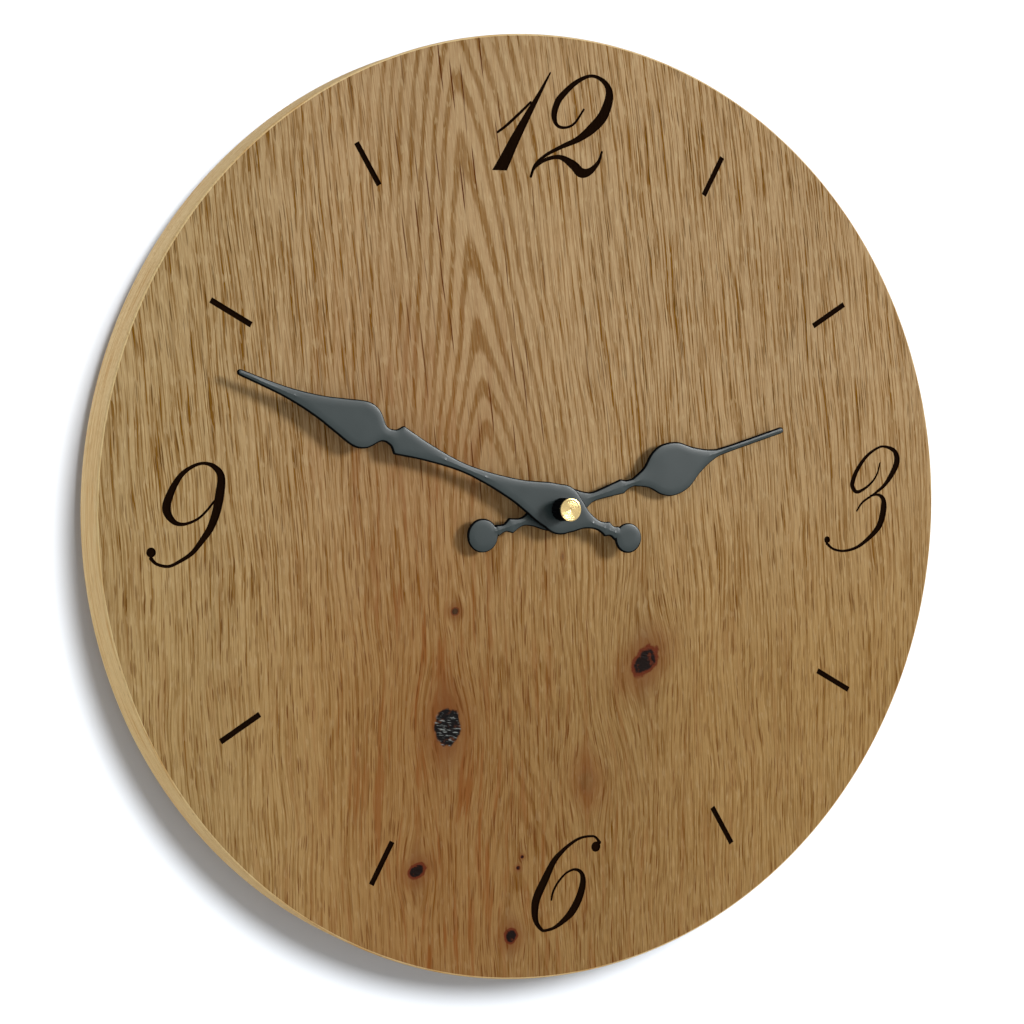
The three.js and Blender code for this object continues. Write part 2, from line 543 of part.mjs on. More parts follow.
const NUB_END = INSIDE - PRESSED - CONTACT_THICKNESS - END_PLAY;
const BATTERY_BACK = NUB_END - BATTERY_LENGTH;
const batteryShoulder = NUB_END - BATTERY_NUB[1];
const battery = turned([
  [0, BATTERY_BACK], [BATTERY_RADIUS - BATTERY_EDGE, BATTERY_BACK],
  [BATTERY_RADIUS, BATTERY_BACK + BATTERY_EDGE], [BATTERY_RADIUS, batteryShoulder - BATTERY_EDGE],
  [BATTERY_RADIUS - BATTERY_EDGE, batteryShoulder],
  [BATTERY_NUB[0], batteryShoulder], [BATTERY_NUB[0], NUB_END], [0, NUB_END],
]).rotate([0, 90, 0]).translate([0, BAY_MIDDLE, BATTERY_AXIS]);
piece("battery", battery, "batteryJacket");

// A strip that stands along the case's right wall, out of the bay and over the board's end.
function contactStrip() {
  const outer = INSIDE - PRESSED;
  const inner = outer - CONTACT_THICKNESS;
  const [footLength, footWidth] = CONTACT_FOOT;
  const footFront = BOARD_FRONT + PRESSED + CONTACT_THICKNESS;
  return joined(
    block([inner, BAY_MIDDLE - BATTERY_RADIUS + BAY_CLEARANCE, outer, BOARD_MIDDLE + footWidth / 2],
      CONTACT_BACK, CONTACT_FRONT),
    block([outer - footLength, BOARD_MIDDLE - footWidth / 2, outer, BOARD_MIDDLE + footWidth / 2],
      BOARD_FRONT + PRESSED, Math.max(footFront, CONTACT_BACK + CONTACT_THICKNESS)),
  );
}

// The leaf that bows out from the strip to press on the battery's flat end.
function springLeaf() {
  const foot = -INSIDE + PRESSED + CONTACT_THICKNESS / 2;
  const bow = BATTERY_BACK - END_PLAY - foot;
  const half = LEAF_HALF_LENGTH;
  const inside = half - 2 * CONTACT_THICKNESS;
  const leaf = new THREE.Shape();
  leaf.moveTo(foot, BAY_MIDDLE - half);
  leaf.quadraticCurveTo(foot + 2 * bow, BAY_MIDDLE, foot, BAY_MIDDLE + half);
  leaf.lineTo(foot, BAY_MIDDLE + inside);
  leaf.quadraticCurveTo(foot + 2 * (bow - CONTACT_THICKNESS), BAY_MIDDLE, foot, BAY_MIDDLE - inside);
  return prism(leaf, CONTACT_BACK + 1, CONTACT_FRONT - 1, 8);
}

piece("positive_contact", contactStrip(), "steel");
piece("negative_contact", joined(contactStrip().mirror([1, 0, 0]), springLeaf()), "steel");
piece("circuit_board",
  block(around([0, BOARD_MIDDLE], BOARD_HALF_LENGTH, BOARD_HEIGHT / 2), BOARD_BACK, BOARD_FRONT), "greenBoard");

const [domeRadius, domeHeight] = CHIP_DOME;
const domeShoulders = CHIP_SHOULDERS.map(([across, up]) => [domeRadius * across, domeHeight * up]);
const dome = turned([[0, 0], [domeRadius, 0], ...domeShoulders, [0, domeHeight]]);
piece("control_chip", dome.translate([CHIP_AT[0], BOARD_MIDDLE + CHIP_AT[1], BOARD_FRONT]), "blackPlastic");
const crystal = disc(CRYSTAL_RADIUS, -CRYSTAL_LENGTH / 2, CRYSTAL_LENGTH / 2).rotate([0, 90, 0]).translate(
  [CRYSTAL_AT[0], BOARD_MIDDLE + CRYSTAL_AT[1], BOARD_FRONT + PRESSED + CRYSTAL_RADIUS]);
piece("quartz_crystal", crystal, "steel");

// Stepping motor

function statorPlate() {
  const rim = ROTOR_RADIUS + ROTOR_GAP + STATOR_ARM / 2;
  const arms = STATOR_POSTS.flatMap((at) => {
    const corner = [ROTOR_AT[0], at[1]];
    return [[ROTOR_AT, corner], [corner, at]].map((ends) =>
      prism(pegShape(ends, STATOR_ARM / 2), STATOR_BACK, STATOR_FRONT));
  });
  const plate = joined(moved(disc(rim, STATOR_BACK, STATOR_FRONT), ROTOR_AT), ...arms);
  const rotorHole = moved(disc(ROTOR_RADIUS + ROTOR_GAP, STATOR_BACK - 1, STATOR_FRONT + 1), ROTOR_AT);
  return cut(plate, rotorHole, ...postHoles());
}

const postHoles = () => STATOR_POSTS.map((at) =>
  moved(disc(PINNED, STATOR_BACK - 1, CORE_FRONT + 1, SMALL_ROUND), at));
const coilMiddle = [COIL_X, ROTOR_AT[1]];

function coilCore() {
  const bar = prism(pegShape(STATOR_POSTS, CORE_WIDTH / 2), STATOR_FRONT + PRESSED, CORE_FRONT);
  return cut(bar, ...postHoles());
}

function coilBobbin() {
  const [flange, thickness] = BOBBIN_FLANGE;
  const half = COIL_LENGTH / 2;
  const tube = CORE_WIDTH / 2 + PRESSED + BOBBIN_WALL;
  const spool = joined(
    disc(tube, -half, half),
    block(square(flange / 2), -half, -half + thickness),
    block(square(flange / 2), half - thickness, half),
  );
  const coreHole = around(CENTRE, CORE_WIDTH / 2 + PRESSED, STATOR_THICKNESS / 2 + PRESSED);
  const slot = block(coreHole, -half - 1, half + 1);
  return alongCoil(cut(spool, slot));
}

function coilWinding() {
  const half = COIL_LENGTH / 2 - BOBBIN_FLANGE[1] - PRESSED;
  return alongCoil(ring(CORE_WIDTH / 2 + 2 * PRESSED + BOBBIN_WALL, COIL_RADIUS, -half, half));
}

// Turns a body drawn on the z axis to lie on the coil's axis.
function alongCoil(body) {
  return body.rotate([90, 0, 0]).translate([...coilMiddle, CORE_AXIS]);
}

piece("stator_plate", statorPlate(), "steel");
piece("coil_core", coilCore(), "steel");
piece("coil_bobbin", coilBobbin(), "whitePlastic");
piece("coil_winding", coilWinding(), "copper");

// Going train, from the rotor to the minute shaft. The pieces that turn hang in groups on their
// own axes.

const PIVOT_BACK = REAR_FLOOR - PIVOT_LENGTH;

function onArbor([x, y]) {
  const group = new THREE.Group();
  group.position.set(x, y, 0);
  clock.add(group);
  return group;
}

const rotorAxis = onArbor(ROTOR_AT);
const magnetBack = STATOR_BACK - (ROTOR_LENGTH - STATOR_THICKNESS) / 2;
piece("rotor_magnet", ring(ARBOR_RADIUS + PRESSED, ROTOR_RADIUS, magnetBack, magnetBack + ROTOR_LENGTH),
  "steel", rotorAxis);
piece("rotor_pinion", joined(
  arbor(PIVOT_BACK, BRIDGE_FRONT),
  pinion(TEETH.rotorPinion, STEP_WHEEL_MODULE, THIRD_LAYER, ROTOR_DIRECTION + 180, true),
), "whitePlastic", rotorAxis);

piece("step_wheel", joined(
  arbor(PIVOT_BACK, BRIDGE_FRONT),
  wheel(TEETH.stepWheel, STEP_WHEEL_MODULE, THIRD_LAYER, ROTOR_DIRECTION),
  pinion(TEETH.stepPinion, SECONDS_WHEEL_MODULE, SECONDS_LAYER, STEP_WHEEL_DIRECTION + 180, true),
), "whitePlastic", onArbor(STEP_AT));

const centreAxis = onArbor(CENTRE);
const SECONDS_ARBOR_TOP = MINUTE_HAND_FRONT;
const SECONDS_TIP = 1; // length of its arbor's thin front end
piece("seconds_wheel", joined(
  arbor(PIVOT_BACK, SECONDS_ARBOR_TOP, SECONDS_ARBOR_TOP - SECONDS_TIP),
  wheel(TEETH.secondsWheel, SECONDS_WHEEL_MODULE, SECONDS_LAYER, STEP_WHEEL_DIRECTION),
  pinion(TEETH.secondsPinion, THIRD_WHEEL_MODULE, THIRD_LAYER, THIRD_WHEEL_DIRECTION, true),
), "whitePlastic", centreAxis);

piece("third_wheel", joined(
  arbor(PIVOT_BACK, BRIDGE_FRONT),
  wheel(TEETH.thirdWheel, THIRD_WHEEL_MODULE, THIRD_LAYER, THIRD_WHEEL_DIRECTION + 180),
  pinion(TEETH.thirdPinion, CENTRE_WHEEL_MODULE, CENTRE_LAYER, THIRD_WHEEL_DIRECTION + 180, true),
), "whitePlastic", onArbor(THIRD_AT));

piece("centre_wheel", cut(
  wheel(TEETH.centreWheel, CENTRE_WHEEL_MODULE, CENTRE_LAYER, THIRD_WHEEL_DIRECTION),
  disc(MINUTE_SHAFT_RADIUS + PRESSED, CENTRE_LAYER - 1, CENTRE_LAYER + 2),
), "whitePlastic", centreAxis);

// Motion work, which turns the hour hand once for twelve turns of the minute hand

const SHAFT_BACK = CENTRE_LAYER - END_PLAY;
const SHAFT_FRONT = MINUTE_HAND_FRONT + SHAFT_IN_BUSH;
piece("minute_shaft", cut(
  joined(
    disc(MINUTE_SHAFT_RADIUS, SHAFT_BACK, SHAFT_FRONT),
    disc(MINUTE_SHAFT_RADIUS + WHEEL_THICKNESS, SHAFT_BACK, CENTRE_LAYER),
    pinion(TEETH.cannonPinion, MINUTE_WHEEL_MODULE, MINUTE_LAYER, MINUTE_WHEEL_DIRECTION),
  ),
  disc(MINUTE_SHAFT_BORE, 0, SHAFT_FRONT + 1),
), "brass", centreAxis);

const settingAxis = onArbor(SETTING_AT);
const settingShoulder = HOUR_LAYER + WHEEL_THICKNESS + 2 * WHEEL_STEP;
piece("minute_wheel", joined(
  turned([
    [0, KNOB_RECESS + WHEEL_STEP], [SETTING_ARBOR_RADIUS, KNOB_RECESS + WHEEL_STEP],
    [SETTING_ARBOR_RADIUS, settingShoulder], [PIVOT_RADIUS, settingShoulder],
    [PIVOT_RADIUS, COVER_INSIDE - WHEEL_STEP], [0, COVER_INSIDE - WHEEL_STEP],
  ], SMALL_ROUND),
  wheel(TEETH.minuteWheel, MINUTE_WHEEL_MODULE, MINUTE_LAYER, MINUTE_WHEEL_DIRECTION + 180, true),
  pinion(TEETH.minutePinion, HOUR_WHEEL_MODULE, HOUR_LAYER, MINUTE_WHEEL_DIRECTION + 180, true),
), "whitePlastic", settingAxis);

const knobRib = disc(KNOB_RIB_RADIUS, -1, KNOB_WELL, 2 * NOTCH_ROUND);
const knobRibs = Array.from({ length: KNOB_RIBS }, (_, i) =>
  moved(knobRib, along(CENTRE, (360 * i) / KNOB_RIBS, KNOB_DIAMETER / 2)));
piece("setting_knob", cut(
  disc(KNOB_DIAMETER / 2, KNOB_RECESS, KNOB_RECESS + KNOB_THICKNESS, LARGE_ROUND),
  disc(SETTING_ARBOR_RADIUS + PRESSED, 0, KNOB_WELL, SMALL_ROUND),
  ...knobRibs,
), "whitePlastic", settingAxis);

const HOUR_TUBE_FRONT = HOUR_HAND_FRONT + COLLET_LIP[1] + WHEEL_STEP;
piece("hour_wheel", cut(
  joined(
    disc(HOUR_TUBE_RADIUS, HOUR_LAYER, HOUR_TUBE_FRONT),
    wheel(TEETH.hourWheel, HOUR_WHEEL_MODULE, HOUR_LAYER, MINUTE_WHEEL_DIRECTION),
  ),
  disc(HOUR_TUBE_BORE, HOUR_LAYER - 1, HOUR_TUBE_FRONT + 1),
), "whitePlastic", centreAxis);

// Hands. Each is drawn pointing to twelve, and its group turns it to the photographed time.

function handPlate({ edge, tailEdge, hubRadius, ball: [ballAt, ballRadius] }, holeRadius, back) {
  const front = back + HAND_THICKNESS;
  const halfOutline = (stretches, way) => {
    const shape = new THREE.Shape();
    const corners = stretches.map((stretch) => stretch.map(([u, half]) => new THREE.Vector2(half, way * u)));
    shape.moveTo(corners[0][0].x, corners[0][0].y);
    corners.forEach((stretch) => shape.splineThru(stretch.slice(1)));
    shape.lineTo(0, shape.currentPoint.y);
    shape.lineTo(0, corners[0][0].y);
    return shape;
  };
  const right = joined(
    prism(halfOutline(edge, 1), back, front, 2),
    prism(halfOutline(tailEdge, -1), back, front, 2),
  );
  const whole = joined(
    right, right.mirror([1, 0, 0]), disc(hubRadius, back, front, LARGE_ROUND),
    disc(ballRadius, back, front).translate([0, -ballAt, 0]),
  );
  return cut(whole, disc(holeRadius, back - 1, front + 1));
}

function handAxis(angle) {
  const group = onArbor(CENTRE);
  group.rotation.z = -THREE.MathUtils.degToRad(angle);
  return group;
}

const hourAxis = handAxis(HOUR_ANGLE);
piece("hour_hand", handPlate(HOUR_HAND, COLLET_STEM_RADIUS + PRESSED, HOUR_HAND_BACK), "blackPaint", hourAxis);
piece("hour_hand_collet", turned([
  [HOUR_TUBE_RADIUS + PRESSED, HOUR_HAND_BACK], [COLLET_STEM_RADIUS, HOUR_HAND_BACK],
  [COLLET_STEM_RADIUS, HOUR_HAND_FRONT], [COLLET_LIP[0], HOUR_HAND_FRONT],
  [COLLET_LIP[0], HOUR_HAND_FRONT + COLLET_LIP[1]],
  [HOUR_TUBE_RADIUS + PRESSED, HOUR_HAND_FRONT + COLLET_LIP[1]],
]), "brass", hourAxis);

const minuteAxis = handAxis(MINUTE_ANGLE);
const shaftHole = MINUTE_SHAFT_RADIUS + PRESSED;
piece("minute_hand", handPlate(MINUTE_HAND, shaftHole, MINUTE_HAND_BACK), "blackPaint", minuteAxis);
const notches = Array.from({ length: HAND_BUSH_NOTCHES }, (_, i) => moved(
  disc(HAND_BUSH_NOTCH_RADIUS, 0, HAND_BUSH_FRONT + 1, NOTCH_ROUND),
  along(CENTRE, (360 * i) / HAND_BUSH_NOTCHES, HAND_BUSH_RADIUS)));
piece("minute_hand_bush", cut(
  disc(HAND_BUSH_RADIUS, MINUTE_HAND_FRONT, HAND_BUSH_FRONT, LARGE_ROUND),
  disc(shaftHole, 0, SHAFT_FRONT + END_PLAY),
  ...notches,
), "blackPaint", minuteAxis);
const capFront = HAND_BUSH_FRONT + HAND_CAP_HEIGHT;
piece("hand_cap", turned([
  [0, HAND_BUSH_FRONT], [HAND_BUSH_RADIUS, HAND_BUSH_FRONT], [HAND_BUSH_RADIUS, capFront - PRESSED],
  [HAND_BUSH_RADIUS - PRESSED, capFront], [0, capFront],
], LARGE_ROUND), "brass", minuteAxis);

// The clock hangs upright: +Z is up, and the viewer looks along +Y at the dial.
const upright = new THREE.Group();
clock.rotation.x = Math.PI / 2;
upright.add(clock);
export default upright;
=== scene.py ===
"""Dressed model of a round oak wall clock: burnt script numerals, black leaf hands and a battery
movement set into the board's back. Lengths are in metres, +Z is up and the dial faces -Y."""
import math

import bmesh
import bpy
import numpy as np
from bpy.props import FloatProperty, FloatVectorProperty, PointerProperty
from mathutils import Matrix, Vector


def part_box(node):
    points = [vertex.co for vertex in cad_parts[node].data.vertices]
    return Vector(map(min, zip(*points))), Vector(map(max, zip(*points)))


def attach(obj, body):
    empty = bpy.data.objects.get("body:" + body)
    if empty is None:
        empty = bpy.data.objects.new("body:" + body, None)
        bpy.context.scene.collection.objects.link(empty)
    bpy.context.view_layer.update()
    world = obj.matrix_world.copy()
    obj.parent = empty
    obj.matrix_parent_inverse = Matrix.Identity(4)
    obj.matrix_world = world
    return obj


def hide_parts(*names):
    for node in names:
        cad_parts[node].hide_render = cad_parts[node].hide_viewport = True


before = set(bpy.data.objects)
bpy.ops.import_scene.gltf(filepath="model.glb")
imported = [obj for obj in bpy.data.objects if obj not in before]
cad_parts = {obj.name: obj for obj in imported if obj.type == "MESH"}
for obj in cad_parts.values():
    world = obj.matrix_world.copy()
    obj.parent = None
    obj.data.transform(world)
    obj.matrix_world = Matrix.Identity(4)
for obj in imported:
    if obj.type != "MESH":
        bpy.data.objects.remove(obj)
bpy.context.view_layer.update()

bl_info = {
    "name": "Oak wall clock",
    "version": (1, 0, 0),
    "blender": (4, 5, 0),
    "location": "View3D > Sidebar > Clock",
    "description": "Builds the visible pieces of a round oak wall clock round its CAD frame",
    "category": "Object",
}

# A millimetre, and the place of the board's face along y, in metres
MM = 0.001
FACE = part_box("dial_disc")[0].y
# Edges that turn by more than this many degrees stay creased
CREASE = 35.0
# How far the burnt marks' cutters reach above the face, in millimetres
CUTTER_REACH = 0.4

# Each numeral is drawn in strokes, and each stroke has points of [x, z, width] in millimetres on
# the face, from the hands' axis. The pen's line runs smoothly through them.
STROKES = [
    [[1.8, 138.0, 0.22], [-2.2, 131.3, 1.0], [-7.0, 123.6, 2.1], [-11.4, 116.3, 3.0], [-14.6, 110.5, 3.7],
     [-18.4, 104.0, 4.5]],
    [[-17.3, 118.6, 0.5], [-14.4, 120.6, 0.6], [-10.1, 124.2, 0.65], [-5.4, 128.4, 0.5]],
    [[13.7, 126.9, 0.45], [10.1, 122.3, 0.5], [6.5, 120.9, 0.6], [3.8, 121.7, 0.95], [2.9, 124.7, 1.8],
     [3.9, 128.2, 1.9], [5.9, 131.0, 1.75], [11.1, 135.4, 1.25], [16.7, 137.7, 0.75], [21.5, 135.9, 1.45],
     [23.2, 131.8, 2.6], [20.9, 125.5, 3.2], [16.8, 121.2, 2.9], [11.6, 117.5, 1.75], [5.6, 114.9, 1.1],
     [-0.3, 112.0, 0.75], [-4.2, 108.8, 0.65], [-5.8, 105.1, 0.6]],
    [[-5.6, 105.7, 0.45], [-4.2, 108.1, 0.65], [-0.3, 110.6, 0.9], [4.8, 111.5, 1.25], [9.5, 109.2, 2.7],
     [12.2, 106.9, 3.0], [15.4, 107.3, 2.0], [18.6, 110.2, 1.0], [20.1, 113.7, 0.45]],
    [[-113.8, 6.1, 0.4], [-116.3, 3.3, 0.45], [-119.3, 0.9, 0.5], [-123.5, -0.4, 0.7], [-126.7, 0.6, 1.4],
     [-128.7, 4.3, 2.4], [-127.1, 9.3, 1.95], [-124.0, 14.0, 1.3], [-120.4, 16.5, 0.8], [-116.8, 17.4, 0.65],
     [-113.6, 16.3, 1.3], [-111.5, 13.4, 2.1], [-112.0, 8.3, 2.6], [-113.3, 2.7, 2.4], [-115.2, -1.8, 2.0],
     [-117.4, -4.8, 1.6], [-121.0, -8.9, 1.1], [-125.0, -11.3, 0.8], [-128.5, -12.6, 0.65],
     [-132.0, -11.8, 0.65], [-133.8, -10.1, 0.9]],
    [[127.8, 11.4, 0.3], [126.4, 7.5, 0.4], [123.4, 4.2, 0.55], [118.5, 1.8, 0.9], [116.3, 3.5, 1.45],
     [116.5, 5.9, 1.5], [118.6, 9.8, 1.25], [122.4, 14.0, 0.85], [126.9, 16.6, 0.55], [129.9, 17.0, 0.6],
     [133.7, 15.6, 1.3], [135.0, 12.5, 2.1], [133.6, 8.8, 1.9], [129.8, 4.0, 1.1], [126.0, 1.4, 0.6],
     [124.5, 0.5, 0.5], [120.3, -1.8, 0.5], [117.9, -4.6, 0.35]],
    [[123.7, 0.3, 0.4], [126.7, 0.6, 0.65], [128.9, -0.9, 1.45], [129.1, -4.2, 2.25], [127.7, -9.1, 2.1],
     [125.0, -12.4, 1.55], [120.1, -15.9, 1.0], [116.4, -17.5, 0.75], [111.9, -18.1, 0.55],
     [107.9, -17.2, 0.55], [105.4, -15.3, 0.8]],
    [[15.2, -108.4, 0.84], [13.7, -106.5, 0.5], [11.5, -106.0, 0.5], [7.9, -106.3, 0.6], [4.5, -107.8, 0.85],
     [1.4, -109.9, 1.2], [-1.7, -112.8, 1.8], [-5.1, -118.4, 2.5], [-8.2, -124.1, 2.65], [-8.9, -128.6, 2.2],
     [-8.3, -131.9, 1.4], [-6.6, -134.2, 0.85], [-5.4, -134.7, 0.65], [-2.1, -134.2, 0.85],
     [1.3, -132.4, 1.55], [4.7, -129.6, 2.4], [7.5, -125.1, 2.4], [8.8, -120.6, 1.95], [8.3, -117.6, 1.1],
     [6.0, -116.2, 0.6], [2.8, -117.0, 0.45], [-0.3, -119.7, 0.5], [-2.2, -122.7, 0.5], [-2.8, -125.1, 0.35]],
]
# Strokes that end level: the stroke's number and the height of its foot in millimetres
STROKE_FEET = {0: 106.8}
# The round ends of three strokes: [x, z, radius] in millimetres
STROKE_BALLS = [[-133.7, -8.3, 1.45], [105.5, -14.0, 1.15], [13.8, -109.6, 1.65]]

# Knots in the board: [x, z, half width, half height, turn in degrees, darkness] in millimetres on
# the face
KNOTS = [
    [-38.7, -66.8, 4.6, 6.1, -8, 1], [33.2, -50.7, 6.4, 4.2, 42, 1], [-50.0, -110.9, 3.5, 2.5, 25, 1],
    [-17.6, -135.0, 2.5, 2.7, 0, 1], [-35.2, -30.8, 1.5, 1.4, 0, 0.75], [-14.6, -113.6, 0.8, 0.7, 0, 1],
    [-13.1, -110.2, 0.7, 0.6, 0, 1], [3.4, -15.4, 0.4, 1.0, 0, 0.3], [11.0, -88.0, 3.4, 5.0, 12, 0.12],
]

# How the growth rings' number changes up the board's middle: [z in millimetres, rings]
FIGURE = [
    [-152, -8.5], [-108, -5.2], [-70, -2.2], [-50, -0.9], [-36, -0.5], [-20, -0.9], [-4, -1.3], [10, -0.8],
    [25, 0.0], [38, 1.0], [54, 2.0], [77, 3.0], [111, 4.0], [131, 5.0], [152, 6.2],
]

# Hands, as in the CAD model: [distance from the hands' axis, half width] in millimetres. The
# stretches meet at corners, and each is a smooth curve.
MINUTE_EDGE = [
    [[116.5, 0], [116.25, 0.65], [115.6, 0.95]],
    [[115.6, 0.95], [104, 1.35], [96, 2.1], [88, 3.55], [81, 5.45], [74, 7.25], [69.5, 6.2], [66, 2.75],
     [64.2, 2.2]],
    [[64.2, 2.2], [62.2, 2.8], [60.6, 4.5], [60, 4.6]],
    [[60, 4.6], [50, 2.75], [38, 1.5], [28, 2], [18, 3.5], [12, 5.05], [7, 6.6], [3, 7.4]],
    [[3, 7.4], [-3, 7.4]],
    [[-3, 7.4], [-6.5, 5.3], [-10, 2.9], [-13.5, 1.7], [-16, 1.75], [-18, 2.5]],
    [[-18, 2.5], [-20, 1.75], [-22, 2.4]],
]
HOUR_EDGE = [
    [[89.2, 0], [88.9, 0.75], [88.1, 1.05]],
    [[88.1, 1.05], [66, 1.1], [60, 1.85], [54, 4.4], [48.4, 7.8], [42.5, 8.6], [38, 6.9], [34, 3.4],
     [29, 1.3]],
    [[29, 1.3], [26.6, 1.5], [24.6, 2.4]],
    [[24.6, 2.4], [20, 1.95], [14, 1.55], [11, 2.4], [7, 4.8], [3.5, 6.5]],
    [[3.5, 6.5], [-3.5, 6.5]],
    [[-3.5, 6.5], [-7, 4.6], [-10, 2.6], [-13.5, 1.4], [-17.4, 2.5]],
    [[-17.4, 2.5], [-19.8, 1.3], [-22.6, 1.9]],
]
# Each hand: piece, body, CAD node, edge, hub's radius, ball's [distance from the axis, radius],
# bore's radius, all in millimetres, and the turn from twelve o'clock in degrees
HANDS = [
    ("minute_leaf_hand", "minute_work", "minute_hand", MINUTE_EDGE, 8.0, (26.4, 4.8), 1.87, 292.4),
    ("hour_leaf_hand", "hour_work", "hour_hand", HOUR_EDGE, 7.4, (27.7, 5.3), 3.1, 74.6),
]
# How a hand's front rises inside its rounded edge: [distance from the edge in millimetres, share
# of the crown's height]
CROWN = [(1.0, 0.45), (1.9, 0.92), (2.6, 1.0)]

# Lamps: [name, direction, strength, angle in degrees, whether it lights the wall alone]
LAMPS = [
    ("key", (-0.66, 0.70, -0.27), 2.8, 16, False),
    ("fill", (0.95, 0.25, -0.2), 0.95, 50, False),
    ("behind", (0.25, -0.9, -0.35), 1.2, 50, False),
    ("wall_light", (-0.18, 0.92, -0.45), 5.2, 24, True),
]
# How strongly the white surroundings light the clock
WORLD_LIGHT = 0.34
# The camera's focal length and film width in millimetres, its place in metres, and its right and
# up directions
LENS, FILM = 83.49, 36.0
CAMERA_PLACE = (-0.35898, -0.68557, 0.03003)
CAMERA_RIGHT, CAMERA_UP = (0.88740, -0.46068, -0.01739), (0.03420, 0.02817, 0.99902)
# In metres: how far the stage reaches, the floor's height, and how far the wall stands behind the
# clock's back
STAGE_REACH, FLOOR_HEIGHT, WALL_GAP = 3.0, -0.6, 0.0004


def tone(red, green, blue):
    """A linear colour from display values of 0 to 255: ((c + 0.055) / 1.055) to the power 2.4, or
    c / 12.92 for the darkest."""
    c = np.array([red, green, blue]) / 255
    return tuple(np.where(c > 0.04045, ((c + 0.055) / 1.055) ** 2.4, c / 12.92).tolist())


def length(name, description, default):
    """A length that the user may change, in metres."""
    return FloatProperty(name=name, description=description, default=default, min=0.0, precision=5,
                         subtype="DISTANCE", unit="LENGTH")


def colour(name, description, default):
    """A colour that the user may change."""
    return FloatVectorProperty(name=name, description=description, default=default, size=3, min=0.0,
                               max=1.0, subtype="COLOR")


class ClockSizes(bpy.types.PropertyGroup):
    """Sizes of the visible work on the clock's pieces."""
    arris: length("Board Arris", "Radius along the two edges of the board's rim", 0.9 * MM)
    burn_spread: length("Burn Spread", "How far the burn spreads past a stroke's edges", 0.04 * MM)
    burn_depth: length("Burn Depth", "How deep the numerals and hour bars lie", 0.45 * MM)
    burn_slope: length("Burn Slope", "How much wider a burnt line is at the face than below", 0.16 * MM)
    bar_width: length("Hour Bar Width", "Width of the short bars between the numerals", 1.6 * MM)
    bar_length: length("Hour Bar Length", "Length of the short bars between the numerals", 14.4 * MM)
    bar_radius: length("Hour Bar Radius", "Distance of the bars' outer ends from the hands' axis", 131 * MM)
    hand_round: length("Hand Edge", "Radius along the hands' front edges", 0.48 * MM)
    hand_crown: length("Hand Crown", "How much higher a hand's middle is than its edge", 0.12 * MM)
    thread_pitch: length("Thread Pitch", "Pitch of the threaded bushing", 0.75 * MM)
    moulding_edge: length("Moulding Edge", "Width of the rounding on moulded and pressed pieces", 0.25 * MM)


class ClockColours(bpy.types.PropertyGroup):
    """Colours of the clock's finishes."""
    oak_pale: colour("Oak Pale", "Wood between the growth rings", tone(170, 142, 104))
    oak_brown: colour("Oak Brown", "Wood in the growth rings", tone(112, 74, 20))
    oak_red: colour("Oak Red", "Heartwood stain round the knots", tone(118, 68, 28))
    oak_pore: colour("Oak Pore", "Open pores of the wood", tone(72, 24, 0))
    # The rim's two colours are paler than the face's: partly for the planed wood, and partly as painted light
    # on the rim.
    edge_pale_and_painted_light: colour("Edge Pale", "Wood of the planed rim, between the rings", tone(214, 188, 140))
    edge_brown_and_painted_light: colour("Edge Brown", "Wood of the planed rim, in the rings", tone(176, 126, 58))
    burnt: colour("Burnt", "Floor of the burnt numerals", tone(20, 9, 3))
    lacquer: colour("Lacquer", "Satin lacquer of the hands", tone(36, 46, 46))
    brass: colour("Brass", "Turned brass", tone(196, 172, 118))
    steel: colour("Steel", "Zinc-plated sheet", tone(188, 190, 192))
    black_plastic: colour("Black Plastic", "Moulded movement case", tone(32, 33, 35))
    white_plastic: colour("White Plastic", "Moulded wheels and knob", tone(226, 223, 212))
    jacket: colour("Battery Jacket", "Film round the battery", tone(62, 68, 74))


# Shader formulas

class Field:
    """A value that changes over the surface. Arithmetic on it adds Math nodes to its tree."""

    def __init__(self, graph, socket):
        self.graph, self.socket = graph, socket

    def __add__(self, other):
        return self.graph.maths("ADD", self, other)

    def __sub__(self, other):
        return self.graph.maths("SUBTRACT", self, other)

    def __rsub__(self, other):
        return self.graph.maths("SUBTRACT", other, self)

    def __mul__(self, other):
        return self.graph.maths("MULTIPLY", self, other)

    def __truediv__(self, other):
        return self.graph.maths("DIVIDE", self, other)

    def __rtruediv__(self, other):
        return self.graph.maths("DIVIDE", other, self)

    __radd__, __rmul__ = __add__, __mul__

    def root(self):
        return self.graph.maths("SQRT", self)

    def square(self):
        return self.graph.maths("MULTIPLY", self, self)

    def size(self):
        return self.graph.maths("ABSOLUTE", self)

    def fraction(self):
        return self.graph.maths("FRACT", self)

    def fall(self):
        """Falls from 1 at zero like a bell: e to the power of minus the square."""
        return self.graph.maths("EXPONENT", self.square() * -1)

    def above(self, other):
        return self.graph.maths("MAXIMUM", self, other)

    def below(self, other):
        return self.graph.maths("MINIMUM", self, other)

    def clamped(self):
        return self.graph.maths("ADD", self, 0.0, clamp=True)

    def rise(self, low, high):
        """Goes smoothly from 0 where the value is low to 1 where it is high."""
        made = self.graph.node("MapRange", {"Value": self, "From Min": low, "From Max": high},
                               interpolation_type="SMOOTHSTEP")
        return Field(self.graph, made.outputs["Result"])


